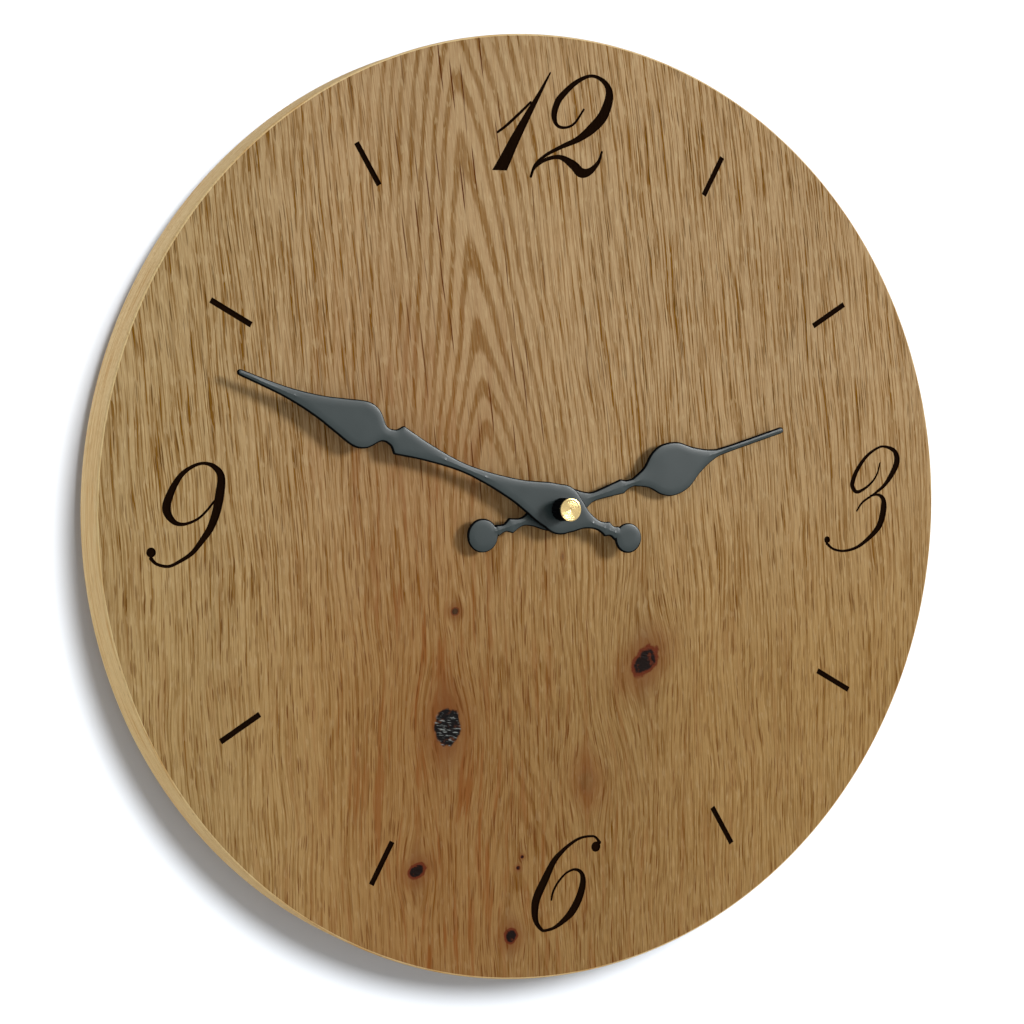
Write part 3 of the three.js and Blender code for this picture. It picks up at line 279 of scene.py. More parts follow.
class Graph:
    """Adds nodes to one tree."""

    def __init__(self, tree):
        self.tree = tree

    def join(self, value, socket):
        """Links a field or a socket to an input, or sets the input to a plain value."""
        if isinstance(value, Field):
            value = value.socket
        if isinstance(value, bpy.types.NodeSocket):
            self.tree.links.new(value, socket)
        elif socket.type == "RGBA":
            socket.default_value = (*value[:3], 1.0)
        elif socket.type == "VECTOR":
            socket.default_value = value[:3]
        else:
            socket.default_value = value

    def node(self, kind, inputs, **settings):
        """One node with its settings and inputs."""
        made = self.tree.nodes.new("ShaderNode" + kind)
        for name, value in settings.items():
            setattr(made, name, value)
        self.give(made, inputs)
        return made

    def give(self, target, values):
        """Joins each value to the target node's input of its name."""
        for label, value in values.items():
            self.join(value, target.inputs[label])

    def maths(self, operation, *values, clamp=False):
        """A Math node's result."""
        made = self.node("Math", dict(enumerate(values)), operation=operation, use_clamp=clamp)
        return Field(self, made.outputs[0])

    def place(self):
        """The three coordinates of the point on the object, in millimetres."""
        point = self.node("TexCoord", {}).outputs["Object"]
        parts = self.node("SeparateXYZ", {"Vector": point})
        return [Field(self, parts.outputs[axis]) * 1000.0 for axis in "XYZ"]

    def vector(self, x, y, z):
        """A vector from three values."""
        return self.node("CombineXYZ", {"X": x, "Y": y, "Z": z}).outputs[0]

    def noise(self, x, y, z, detail=1.0, roughness=0.5):
        """Smooth noise from 0 to 1, about 0.5, at a point given in its own cells."""
        made = self.node("TexNoise", {"Vector": self.vector(x, y, z), "Scale": 1.0, "Detail": detail,
                                      "Roughness": roughness})
        return Field(self, made.outputs["Fac"])

    def swing(self, x, y, z, detail=1.0, roughness=0.5):
        """The same noise from about -1 to 1."""
        return self.noise(x, y, z, detail, roughness) * 2.0 - 1.0

    def cells(self, x, y, z):
        """Scattered points: the distance to the nearest, and a value of its own from 0 to 1."""
        made = self.node("TexVoronoi", {"Vector": self.vector(x, y, z), "Scale": 1.0})
        shade = self.node("SeparateColor", {"Color": made.outputs["Color"]})
        return Field(self, made.outputs["Distance"]), Field(self, shade.outputs[0])

    def blend(self, share, first, second):
        """A colour between two others."""
        made = self.node("Mix", {0: share, 6: first, 7: second}, data_type="RGBA")
        return made.outputs[2]

    def tint(self, share, shade, factor):
        """A colour times another, as far as the share says."""
        made = self.node("Mix", {0: share, 6: shade, 7: factor}, data_type="RGBA", blend_type="MULTIPLY")
        return made.outputs[2]

    def curve(self, value, points):
        """A smooth curve through points of [value, result], whose ends it holds beyond them."""
        table = np.array(points, float)
        low, size = table.min(0), np.ptp(table, 0)
        table = (table - low) / size
        made = self.node("FloatCurve", {"Value": (value - low[0]) / size[0]})
        line = made.mapping.curves[0]
        line.points[0].location, line.points[1].location = table[0], table[-1]
        for place in table[1:-1]:
            line.points.new(*place)
        made.mapping.update()
        return Field(self, made.outputs[0]) * size[1] + low[1]

    def scaled(self, shade, factor):
        """A colour times a value."""
        made = self.node("VectorMath", {0: shade, "Scale": factor}, operation="SCALE")
        return made.outputs[0]

    def effect(self, name, **inputs):
        """A group placed in this tree. An input's underscores stand for spaces."""
        made = self.tree.nodes.new("ShaderNodeGroup")
        made.node_tree = bpy.data.node_groups[name]
        self.give(made, {key.replace("_", " ").title(): value for key, value in inputs.items()})
        return {socket.name: Field(self, socket) for socket in made.outputs}


def new_effect(name, takes, gives):
    """An empty node group with named inputs, (kind, default), and named outputs."""
    tree = bpy.data.node_groups.new(name, "ShaderNodeTree")
    for label, (kind, default) in takes.items():
        socket = tree.interface.new_socket(label, in_out="INPUT", socket_type="NodeSocket" + kind)
        socket.default_value = default
    for label, kind in gives.items():
        tree.interface.new_socket(label, in_out="OUTPUT", socket_type="NodeSocket" + kind)
    graph = Graph(tree)
    source = tree.nodes.new("NodeGroupInput")
    sink = tree.nodes.new("NodeGroupOutput")
    taken = {label: Field(graph, source.outputs[label]) for label in takes}
    return graph, taken, sink


def shade_input(default):
    """A colour input of a group, with its default."""
    return ("Color", (*default[:3], 1.0))


def knot_effect():
    """One knot. With the point's offset from the knot turned and divided by its half sizes, the
    distance is 1 on the knot's outline. The push draws the grain's coordinate towards the knot's
    middle, so that the grain's lines pass round it."""
    graph, take, sink = new_effect("oak_knot", {
        "X": ("Float", 0.0), "Z": ("Float", 0.0), "Wobble": ("Float", 0.0),
        "Centre X": ("Float", 0.0), "Centre Z": ("Float", 0.0),
        "Half Width": ("Float", 1.0), "Half Height": ("Float", 1.0), "Turn": ("Float", 0.0),
        "Darkness": ("Float", 1.0),
    }, {"Core": "Float", "Heart": "Float", "Rim": "Float", "Stain": "Float", "Push": "Float"})
    dx, dz = take["X"] - take["Centre X"], take["Z"] - take["Centre Z"]
    cos, sin = graph.maths("COSINE", take["Turn"]), graph.maths("SINE", take["Turn"])
    wide, high = take["Half Width"], take["Half Height"]
    along, across = (dx * cos + dz * sin) / wide, (dz * cos - dx * sin) / high
    distance = (along.square() + across.square()).root() + take["Wobble"]
    mean = (wide * high).root()
    near = (dx / (mean * 2.3)).fall() * (dz / (mean * 4.0)).fall()
    tail = ((dx + take["Wobble"] * mean) / (mean * 0.8)).fall() * (dz / (mean * 3.2)).fall()
    graph.give(sink, {
        "Core": (1.0 - distance.rise(0.88, 1.08)) * take["Darkness"],
        "Heart": 1.0 - distance.rise(0.6, 0.8),
        "Rim": (distance - 1.15).fall(),
        "Stain": (tail * 0.6 + (distance * 0.6).fall() * 0.7).below(1.0) * (take["Darkness"] * 0.75 + 0.25),
        "Push": dx * near * -0.72,
    })


def oak_effect():
    """The figure of the board. A growth ring's number rises with the distance from a line up the
    board, a little slower near that line than at the sides, and changes up the board by a curve.
    Where the curve climbs, lines of one number make peaked arches, and where it turns they close
    to an eye. Long thin cells that lean across the rings are the open pores, thin noise along the
    same lean gives the streaks and lines, and the knots push them all aside."""
    graph, take, sink = new_effect("oak_figure", {
        "Pale": shade_input(tone(172, 145, 112)), "Brown": shade_input(tone(128, 92, 46)),
        "Red": shade_input(tone(120, 76, 42)), "Pore": shade_input(tone(78, 46, 22)),
        "Ring Spacing": ("Float", 2.6), "Banding": ("Float", 1.0),
    }, {"Color": "Color", "Height": "Float", "Roughness": "Float"})
    x, y, z = graph.place()
    depth = y - FACE / MM
    wobble = graph.swing(x / 2.4, depth / 6.0, z / 2.8, 2.0) * 0.28
    knots = [graph.effect("oak_knot", x=x, z=z, wobble=wobble, centre_x=cx, centre_z=cz, half_width=w,
                          half_height=h, turn=math.radians(turn), darkness=dark)
             for cx, cz, w, h, turn, dark in KNOTS]
    pushed, core, inner, rim, stain = x, 0.0, knots[0]["Core"], 0.0, 0.0
    for knot in knots:
        pushed = pushed + knot["Push"]
        core = knot["Core"].above(core)
        inner = knot["Heart"].above(inner)
        rim = knot["Rim"].above(rim)
        stain = knot["Stain"].above(stain)

    low_down = 1.0 - z.rise(-70.0, 60.0)
    wave = graph.swing(pushed / 30.0, depth / 60.0, z / 75.0, 2.0) * (low_down * 2.6 + 2.0)
    grain = pushed + wave + depth * 0.5
    offset = grain + z * 0.07 + 22.5
    side = (offset.square() + 5.0).root()
    right = offset / side * 0.052 + 0.208
    spread = side / take["Ring Spacing"] - right * 18.0 * (1.0 - graph.maths("EXPONENT", side / -18.0))
    near = 1.0 / ((offset / 45.0).square() + 1.0)
    lean = grain + (z + (z.square() + 1600.0).root()) * 0.055
    fibre = graph.swing(lean / 0.5, depth / 0.5, z / 9.0, 1.0)
    hair = graph.swing(lean / 0.5, depth / 0.5, z / 8.0, 1.0, 0.6)
    ring = spread + graph.curve(z, FIGURE) * near + depth * 0.06
    middle = (offset / 22.0).fall()
    ring = ring + graph.swing(ring / 3.0, depth / 20.0, z / 40.0, 2.0) * (0.9 - middle * 0.6) + fibre * 0.14

    clear = (offset / 36.0).fall() * z.rise(-50.0, 30.0)
    strength = graph.noise(ring / 1.7, depth / 9.0, z / 30.0, 1.0).rise(0.32, 0.62) * 0.85 + 0.15
    band = 1.0 - (ring.fraction() - 0.5).size().rise(0.12, 0.3)
    band = band * strength.above(clear * 0.95) * (near * 0.4 + 0.6) * (1.0 - low_down * 0.5) * take["Banding"]
    streak = graph.noise(lean / 0.6, depth / 0.6, z / 44.0, 1.0).rise(0.53, 0.58) * (1.0 - clear * 0.7)
    line = graph.noise(lean / 0.42, depth / 0.42, z / 14.0, 1.0).rise(0.55, 0.6) * (1.0 - clear * 0.6)
    light = graph.noise(lean / 0.7, depth / 0.7, z / 5.0 + 40.0, 1.0).rise(0.58, 0.64)
    patch = graph.swing(grain / 13.0, depth / 30.0, z / 60.0, 2.0)

    short_far, short_own = graph.cells(lean / 0.7, depth / 0.7, z / (12.0 - 3.0 * low_down))
    long_far, long_own = graph.cells(lean / 1.0, depth / 1.0, z / (34.0 - 16.0 * low_down))
    short = (1.0 - short_far.rise(0.22, 0.34)) * short_own.rise(0.45, 0.6) * (1.0 - clear * 0.75)
    long = (1.0 - long_far.rise(0.18, 0.28)) * long_own.rise(0.45, 0.6) * (near * 0.85 + 0.15)
    pores = (short * (band * 0.2 + streak * 0.3 + 0.6)).above(long).clamped()

    brown = band * 0.66 + streak * (0.6 - low_down * 0.2) + line * 0.36 + hair * 0.16 + patch * 0.12
    brown = (brown - 0.02).clamped()
    shade = graph.blend(brown, take["Pale"], take["Brown"])
    left = (1.0 - x.rise(-140.0, -60.0)) * (1.0 - depth.rise(0.2, 1.0))
    shade = graph.tint(low_down * (1.0 - left * 0.5), shade, (0.83, 0.76, 0.56))
    fleck = graph.swing(lean / 1.3, depth / 1.3, z / 2.2, 2.0, 0.6)
    heartwood = ((x - 4.0) / 75.0).fall() * (1.0 - z.rise(-80.0, 0.0))
    zone = graph.swing(grain / 24.0 + 3.1, depth / 60.0, z / 160.0, 1.0)
    level = 0.975 - clear * 0.055 - heartwood * 0.16 + patch * 0.05 + zone * 0.1 + hair * 0.16 + fleck * 0.08
    shade = graph.tint(left, shade, (0.92, 0.95, 0.88))
    shade = graph.blend(light * (0.3 - low_down * 0.15), graph.scaled(shade, level), tone(190, 168, 128))
    red_run = graph.noise(grain / 3.0, depth / 20.0, z / 34.0, 3.0, 0.6).rise(0.5, 0.66)
    warm = ((x + 47.0) / 36.0).fall() * (1.0 - z.rise(10.0, 100.0) * 0.85) + heartwood * 0.4
    warmth = (warm * 0.3 + red_run * (low_down * 0.1 + warm * 0.34 + 0.03)).clamped()
    shade = graph.blend(warmth, shade, take["Red"])
    shade = graph.blend(stain * 0.6, shade, tone(92, 60, 40))
    shade = graph.blend(rim * 0.4, shade, graph.scaled(take["Red"], 0.9))
    dark = (long * 0.8 + middle * 0.4 - 0.1).clamped()
    pore = graph.blend(dark, graph.scaled(take["Brown"], 0.5), take["Pore"])
    pore = graph.blend((low_down * 0.75 + warm * 0.6).clamped(), pore, graph.scaled(take["Red"], 0.66))
    shade = graph.blend(pores * 0.95, shade, pore)
    ridge = graph.noise(x / 3.2, depth, z / 0.6 + x / 4.0, 2.0, 0.6)
    # The grey streaks across the largest knot's core are painted glints, laid over a real bump of the same
    # ridges.
    painted_glint = ridge.rise(0.53, 0.66) * knots[0]["Core"]
    swirl = graph.noise(x / 2.6 + wobble * 2.0, depth, z / 2.0, 2.0).rise(0.55, 0.68)
    heart = graph.blend(inner * (1.0 - swirl * 0.7), tone(74, 40, 24), tone(17, 15, 15))
    shade = graph.blend(core, shade, graph.tint(1.0 - knots[0]["Core"], heart, (1.5, 1.0, 0.8)))
    shade = graph.blend(painted_glint * 0.8, shade, tone(128, 132, 128))
    height = hair * 0.1 - line * 0.2 - streak * 0.1 - pores - core * 2.2 + core * ridge * 2.4
    roughness = pores * 0.15 - core * 0.3 + fibre * 0.05 + 0.74
    graph.give(sink, {"Color": shade, "Height": height, "Roughness": roughness})


def texture_effect(name, label, default, formula):
    """A group with one input whose formula gives its height, roughness and tone."""
    graph, take, sink = new_effect(name, {label: ("Float", default)},
                                   {"Height": "Float", "Roughness": "Float", "Tone": "Float"})
    graph.give(sink, formula(graph, take[label], *graph.place()))


def mould_texture(graph, grain, x, y, z):
    """The fine spark texture of a mould, with broad smudges from handling."""
    fine = graph.noise(x / grain, y / grain, z / grain, 2.0, 0.65)
    broad = graph.noise(x / 9.0, y / 9.0, z / 9.0, 3.0)
    return {"Height": fine, "Roughness": fine * 0.12 + broad * 0.14 - 0.13,
            "Tone": broad * 0.16 + fine * 0.1 + 0.87}


def turned_rings(graph, pitch, x, y, z):
    """The grooves that a lathe leaves round an axis, with smudges."""
    radius = (x.square() + z.square()).root()
    groove = graph.noise(radius / pitch, y / pitch, 0.0, 2.0, 0.6)
    smudge = graph.noise(x / 2.2, y / 2.2, z / 2.2, 3.0)
    return {"Height": groove, "Roughness": groove * 0.1 + smudge * 0.16 - 0.13,
            "Tone": groove * 0.12 + smudge * 0.12 + 0.88}


def rolled_sheet(graph, size, x, y, z):
    """The fine upright lines of rolled sheet, with the bloom of its plating."""
    lines = graph.noise(x / 0.2, y / 0.2, z / size, 2.0, 0.6)
    bloom = graph.cells(x / 3.0, y / 3.0, z / 3.0)[0]
    return {"Height": lines, "Roughness": lines * 0.14 + bloom * 0.1 - 0.12,
            "Tone": lines * 0.1 + bloom * 0.14 + 0.86}


def new_material(name, settings):
    """A material's graph and its surface, whose inputs named in the settings get plain values."""
    made = bpy.data.materials.new(name)
    made.use_nodes = True
    graph = Graph(made.node_tree)
    surface = made.node_tree.nodes["Principled BSDF"]
    graph.give(surface, settings)
    return graph, surface


def set_surface(graph, surface, shade, roughness, height, relief):
    """Gives a surface its colour, its roughness, and the bump of a height over the relief."""
    bump = graph.node("Bump", {"Height": height, "Distance": relief, "Strength": 1.0})
    graph.give(surface, {"Base Color": shade, "Roughness": roughness, "Normal": bump.outputs[0]})


def finish(name, base, roughness, effect, relief, metallic=0.0, sockets=None, **inputs):
    """A material whose colour is the base times the effect's tone, and whose roughness and bump
    come from the effect."""
    graph, surface = new_material(name, {"Metallic": metallic, **(sockets or {})})
    parts = graph.effect(effect, **inputs)
    rough = (parts["Roughness"] + roughness).clamped()
    set_surface(graph, surface, graph.scaled(base, parts["Tone"]), rough, parts["Height"], relief)


def oak_material(name, pale, brown, colours, banding=1.0, streaks=0.0, calm=0.0):
    """Oiled oak with the board's figure. The streaks run along a planed rim, and the calm share
    fades the figure towards the pale colour."""
    graph, surface = new_material(name, {"Specular IOR Level": 0.03})
    parts = graph.effect("oak_figure", pale=pale, brown=brown, red=colours.oak_red, pore=colours.oak_pore,
                         banding=banding)
    x, y, z = graph.place()
    along = graph.noise(x / 26.0, y / 0.75, z / 26.0, 2.0, 0.65).rise(0.47, 0.68)
    shade = graph.blend(along * streaks, graph.blend(calm, parts["Color"], pale), brown)
    set_surface(graph, surface, shade, parts["Roughness"], parts["Height"], 0.00007)


def burnt_material(colours):
    """Burnt oak. It is brown at the face and goes nearly black within the depth of a line."""
    graph, surface = new_material("burnt_oak", {"Specular IOR Level": 0.02})
    x, y, z = graph.place()
    parts = graph.effect("oak_figure")
    depth = y - FACE / MM + graph.swing(x / 0.5, 0.0, z / 2.2, 2.0) * 0.12
    shade = graph.blend(depth.rise(0.0, 0.3), tone(70, 38, 14), colours.burnt)
    shade = graph.scaled(shade, graph.noise(x / 0.4, y, z / 3.0, 2.0) * 0.9 + 0.5)
    set_surface(graph, surface, shade, parts["Roughness"] + 0.25, parts["Height"], 0.0001)


def make_materials(colours):
    """All the finishes, by name."""
    knot_effect()
    oak_effect()
    texture_effect("mould_texture", "Grain", 0.12, mould_texture)
    texture_effect("turned_rings", "Pitch", 0.16, turned_rings)
    texture_effect("rolled_sheet", "Length", 8.0, rolled_sheet)
    oak_material("oak_face", colours.oak_pale, colours.oak_brown, colours)
    # The pale rim finish partly paints the light that the rim shows, beyond what the lamps give it.
    oak_material("oak_edge", colours.edge_pale_and_painted_light, colours.edge_brown_and_painted_light, colours, 0.3, 0.6, 0.6)
    burnt_material(colours)
    finish("hand_lacquer", colours.lacquer, 0.34, "mould_texture", 0.000004, grain=0.35,
           sockets={"Specular IOR Level": 0.35})
    # A near-black finish with almost no reflection. It is the bush's own black, and painted shade on the
    # hands' sides and rounded edges.
    finish("hand_edge", tone(5, 6, 7), 0.5, "mould_texture", 0.000004, grain=0.35,
           sockets={"Specular IOR Level": 0.02})
    finish("turned_brass", colours.brass, 0.3, "turned_rings", 0.000008, 1.0)
    finish("spun_brass", colours.brass, 0.24, "turned_rings", 0.00004, 1.0, pitch=0.11)
    finish("zinc_sheet", colours.steel, 0.36, "rolled_sheet", 0.000006, 1.0)
    finish("motor_steel", tone(168, 170, 174), 0.34, "rolled_sheet", 0.000006, 1.0, length=3.0)
    finish("magnet", tone(70, 72, 76), 0.4, "mould_texture", 0.000006, 1.0)
    finish("black_plastic", colours.black_plastic, 0.5, "mould_texture", 0.00002)
    finish("chip_resin", tone(24, 24, 26), 0.28, "mould_texture", 0.00001, grain=0.8)
    finish("black_rubber", tone(30, 30, 31), 0.78, "mould_texture", 0.00002, grain=0.2)
    finish("white_acetal", colours.white_plastic, 0.38, "mould_texture", 0.000008, grain=0.25,
           sockets={"Subsurface Weight": 0.15, "Subsurface Radius": (0.002, 0.002, 0.0018),
                    "Subsurface Scale": 1.0})
    finish("solder_mask", tone(38, 88, 60), 0.36, "rolled_sheet", 0.00001, length=1.0)
    finish("battery_film", colours.jacket, 0.24, "mould_texture", 0.000004, 0.35, grain=1.4,
           sockets={"Coat Weight": 0.5, "Coat Roughness": 0.12})
    finish("battery_end", tone(198, 198, 196), 0.3, "rolled_sheet", 0.000006, 1.0)
    finish("enamelled_wire", tone(176, 92, 42), 0.3, "rolled_sheet", 0.00004, 1.0, length=0.12)


def use(*names):
    """The materials of the given names."""
    return [bpy.data.materials[name] for name in names]


# Surfaces

def made_mesh(name, points, faces, materials, creases=CREASE, marks=None):
    """An object from an array of points in metres and a list of faces, whose marks number their
    materials. Points that meet are merged and the faces turned outwards. Edges sharper than the
    angle in degrees stay creased."""
    mesh = bpy.data.meshes.new(name)
    mesh.from_pydata(np.asarray(points).tolist(), [], faces)
    for item in materials:
        mesh.materials.append(item)
    if marks is not None:
        mesh.polygons.foreach_set("material_index", np.asarray(marks, np.int32))
    work = bmesh.new()
    work.from_mesh(mesh)
    bmesh.ops.remove_doubles(work, verts=work.verts, dist=1e-6)
    bmesh.ops.dissolve_degenerate(work, edges=work.edges, dist=1e-7)
    bmesh.ops.recalc_face_normals(work, faces=work.faces)
    work.to_mesh(mesh)
    work.free()
    mesh.shade_smooth()
    mesh.set_sharp_from_angle(angle=math.radians(creases))
    piece = bpy.data.objects.new(name, mesh)
    bpy.context.scene.collection.objects.link(piece)
    return piece


def net(rows, columns, wrap_rows=False, wrap_columns=True):
    """The four corners of each face in a grid of points, in which either way may close on itself."""
    r, c = np.meshgrid(np.arange(rows if wrap_rows else rows - 1),
                       np.arange(columns if wrap_columns else columns - 1), indexing="ij")
    below, beside = (r + 1) % rows, (c + 1) % columns
    corners = [(r, c), (r, beside), (below, beside), (below, c)]
    return np.stack([row * columns + column for row, column in corners], -1).reshape(-1, 4).tolist()


def softened(profile, radius, steps=4, closed=False):
    """A profile with its corners rounded. Each corner becomes a parabola between the two points at
    the radius from it: the square of (1 - t) times the first, 2 t (1 - t) times the corner, and t
    squared times the second."""
    points = np.asarray(profile, float)
    before, after = np.roll(points, 1, 0) - points, np.roll(points, -1, 0) - points
    reach = np.full(len(points), radius, float)
    if not closed:
        reach[[0, -1]] = 0.0
    lengths = [np.maximum(np.hypot(*side.T), 1e-12) for side in (before, after)]
    reach = np.minimum(reach, 0.48 * np.minimum(*lengths))
    first = points + before * (reach / lengths[0])[:, None]
    second = points + after * (reach / lengths[1])[:, None]
    t = np.linspace(0, 1, steps + 1)[None, :, None]
    bent = (1 - t) ** 2 * first[:, None] + 2 * t * (1 - t) * points[:, None] + t ** 2 * second[:, None]
    return bent.reshape(-1, 2)


def round_the_axis(radii, heights, angles, centre=(0.0, 0.0)):
    """Points at the given radius, angle and height out of the wall: x is the radius times the
    cosine, z the radius times the sine, and y minus the height. Everything is in millimetres."""
    radii, heights, angles = np.broadcast_arrays(radii, heights, angles)
    x, z = centre[0] + radii * np.cos(angles), centre[1] + radii * np.sin(angles)
    return np.stack([x, -heights, z], -1).reshape(-1, 3) * MM


def turned(name, profile, materials, centre=(0.0, 0.0), segments=96, closed=False):
    """A profile of [radius, height] turned round an axis that points out of the wall."""
    profile = np.asarray(profile, float)
    angles = np.linspace(0, 2 * math.pi, segments, endpoint=False)
    points = round_the_axis(profile[:, :1], profile[:, 1:], angles[None], centre)
    return made_mesh(name, points, net(len(profile), segments, closed), materials)


def grooved(name, profile, materials, creases, radius, grooves, groove, steps, centre=(0.0, 0.0)):
    """A closed profile turned round an axis, with round grooves along its rim. A groove's depth is
    the square root of its radius squared less the square of the arc from the groove's middle."""
    angles = np.linspace(0, 2 * math.pi, grooves * steps, endpoint=False)
    offset = (angles * grooves / (2 * math.pi) + 0.5) % 1 - 0.5
    arc = offset * 2 * math.pi / grooves * radius
    bite = np.sqrt(np.maximum(groove ** 2 - arc ** 2, 0))
    radii = np.minimum(profile[:, :1], radius - bite[None])
    points = round_the_axis(radii, profile[:, 1:], angles[None], centre)
    return made_mesh(name, points, net(len(profile), len(angles), True), materials, creases)


def smooth_line(points, steps):
    """A smooth curve through rows of numbers: between two rows it is the cubic whose slope at each
    is half the step from the row before to the row after."""
    p = np.asarray(points, float)
    p = np.vstack([2 * p[0] - p[1], p, 2 * p[-1] - p[-2]])
    t = np.linspace(0, 1, steps, endpoint=False)[None, :, None]
    a, b, c, d = p[:-3, None], p[1:-2, None], p[2:-1, None], p[3:, None]
    square, cube = 2 * a - 5 * b + 4 * c - d, 3 * b - a - 3 * c + d
    line = 0.5 * (2 * b + (c - a) * t + square * t ** 2 + cube * t ** 3)
    return np.vstack([line.reshape(-1, p.shape[1]), p[-2]])


def closed_prism(name, inner, outer, low, high, material, turn=0.0):
    """A cutter between two outlines of [x, z], both turned by the angle about the hands' axis. The
    inner one lies at the height low out of the wall and the outer one at high."""
    cos, sin = math.cos(turn), math.sin(turn)
    about = np.array([[cos, sin], [-sin, cos]])
    count = len(inner)
    rings = []
    for outline, height in ((inner, low), (outer, high)):
        x, z = (outline @ about).T
        rings.append(np.column_stack([x, np.full(count, -height), z]))
    faces = net(2, count) + [list(range(count)), list(range(2 * count - 1, count - 1, -1))]
    return made_mesh(name, np.vstack(rings) * MM, faces, use(material))


def carve(piece, cutters):
    """Takes the cutters from the piece in one exact Boolean. The new faces keep the cutters'
    material, and the result becomes the piece's own mesh."""
    tools = bpy.data.collections.new("cutters")
    bpy.context.scene.collection.children.link(tools)
    for cutter in cutters:
        tools.objects.link(cutter)
    cut = piece.modifiers.new("carve", "BOOLEAN")
    cut.operation, cut.solver, cut.use_self = "DIFFERENCE", "EXACT", True
    cut.operand_type, cut.collection, cut.material_mode = "COLLECTION", tools, "TRANSFER"
    settled(piece)
    for cutter in cutters:
        mesh = cutter.data
        bpy.data.objects.remove(cutter)
        bpy.data.meshes.remove(mesh)
    bpy.data.collections.remove(tools)


def settled(piece):
    """Makes what the piece's modifiers give its own mesh, and creases its sharp edges."""
    bpy.context.view_layer.update()
    graph = bpy.context.evaluated_depsgraph_get()
    mesh = bpy.data.meshes.new_from_object(piece.evaluated_get(graph), depsgraph=graph)
    old = piece.data
    piece.modifiers.clear()
    piece.data = mesh
    mesh.name = piece.name
    bpy.data.meshes.remove(old)
    mesh.shade_smooth()
    mesh.set_sharp_from_angle(angle=math.radians(CREASE))


def softened_copy(node, name, material, width):
    """A copy of a CAD node with its triangles merged into plain faces and its edges rounded."""
    merged, flat, sharp = 2e-6, math.radians(2.0), math.radians(38.0)
    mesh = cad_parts[node].data.copy()
    mesh.name = name
    work = bmesh.new()
    work.from_mesh(mesh)
    bmesh.ops.remove_doubles(work, verts=work.verts, dist=merged)
    bmesh.ops.dissolve_limit(work, angle_limit=flat, verts=work.verts, edges=work.edges)
    work.to_mesh(mesh)
    work.free()
    mesh.materials.clear()
    mesh.materials.append(bpy.data.materials[material])
    piece = bpy.data.objects.new(name, mesh)
    bpy.context.scene.collection.objects.link(piece)
    bevel = piece.modifiers.new("edges", "BEVEL")
    bevel.width, bevel.segments, bevel.limit_method = width, 2, "ANGLE"
    bevel.angle_limit, bevel.use_clamp_overlap, bevel.harden_normals = sharp, True, False
    settled(piece)
    return piece


def placed(piece, body, slot, *nodes):
    """The piece moves with its body and hides the CAD nodes that it stands for. The slot is not used."""
    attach(piece, body)
    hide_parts(*nodes)


def extent(node):
    """A CAD node's low and high corners in millimetres, as [x, height out of the wall, z]."""
    low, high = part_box(node)
    return np.array([low.x, -high.y, low.z]) / MM, np.array([high.x, -low.y, high.z]) / MM


def dress(material, *nodes):
    """Gives CAD nodes that stay a material."""
    for node in nodes:
        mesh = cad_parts[node].data
        mesh.materials.clear()
        mesh.materials.append(bpy.data.materials[material])


# Pieces

def rectangle(left, bottom, right, top):
    """An upright rectangle's four corners."""
    return np.array([[left, bottom], [right, bottom], [right, top], [left, top]])


def burnt_cutter(name, outline, sizes, turn=0.0):
    """A cutter for a burnt mark, whose outline is a function of the margin round it. The margin is
    -0.6 of half the slope at the mark's floor and grows evenly to above the face."""
    slope = sizes.burn_slope / MM / 2
    depth, front = sizes.burn_depth / MM, -FACE / MM
    margin = -slope * 0.6
    spread = 2 * slope * (depth + CUTTER_REACH) / depth
    return closed_prism(name, outline(margin), outline(margin + spread), front - depth, front + CUTTER_REACH,
                        "burnt_oak", turn)


def stroke_cutter(points, sizes, foot=None):
    """A burnt line. At each point of its smooth middle line, the two edges stand off by half the
    width along the normal, and the ends are half circles. A line with a foot is cut level there."""
    line = smooth_line(points, 8)
    middle, half = line[:, :2], line[:, 2:] / 2 + sizes.burn_spread / MM
    step = np.gradient(middle, axis=0)
    step /= np.hypot(*step.T)[:, None]
    normal = np.column_stack([-step[:, 1], step[:, 0]])
    t = np.linspace(0, math.pi, 7)[1:-1, None]
    foot_clearance = 0.3

    def whole(margin):
        wide = half + margin
        end = middle[-1] + wide[-1] * (np.cos(t) * normal[-1] + np.sin(t) * step[-1])
        start = middle[0] - wide[0] * (np.cos(t) * normal[0] + np.sin(t) * step[0])
        return np.vstack([(middle - normal * wide)[::-1], start, middle + normal * wide, end])

    def outline(margin):
        edge = whole(margin)
        if foot is None:
            return edge
        kept = whole(0.0)[:, 1] > foot + foot_clearance
        crossed = kept != np.roll(kept, -1)
        onward = np.roll(edge, -1, 0) - edge
        rise = np.where(crossed, onward[:, 1], 1.0)
        level = edge + onward * ((foot - margin - edge[:, 1]) / rise)[:, None]
        return np.stack([edge, level], 1)[np.column_stack([kept, crossed])]

    return burnt_cutter("stroke", outline, sizes)


def bar_cutter(hour, sizes):
    """A burnt bar on the ray of an hour, with square ends."""
    outer, inner = sizes.bar_radius / MM, (sizes.bar_radius - sizes.bar_length) / MM
    half = sizes.bar_width / MM / 2

    def outline(margin):
        return rectangle(-half - margin, inner - margin, half + margin, outer + margin)

    return burnt_cutter("bar", outline, sizes, -math.radians(30 * hour))


def rounded_square(left, bottom, right, top, corner, steps=8):
    """A rectangle's outline whose corners are quarter circles."""
    t = np.linspace(0, math.pi / 2, steps)
    quarters = np.arange(4)[:, None] * math.pi / 2 + t
    middles = np.array([[right - corner, top - corner], [left + corner, top - corner],
                        [left + corner, bottom + corner], [right - corner, bottom + corner]])
    ring = middles[:, None] + corner * np.stack([np.cos(quarters), np.sin(quarters)], -1)
    return ring.reshape(-1, 2)


def block_cutter(outline, low, high, material):
    """A cutter with upright walls."""
    return closed_prism("room", outline, outline, low, high, material)


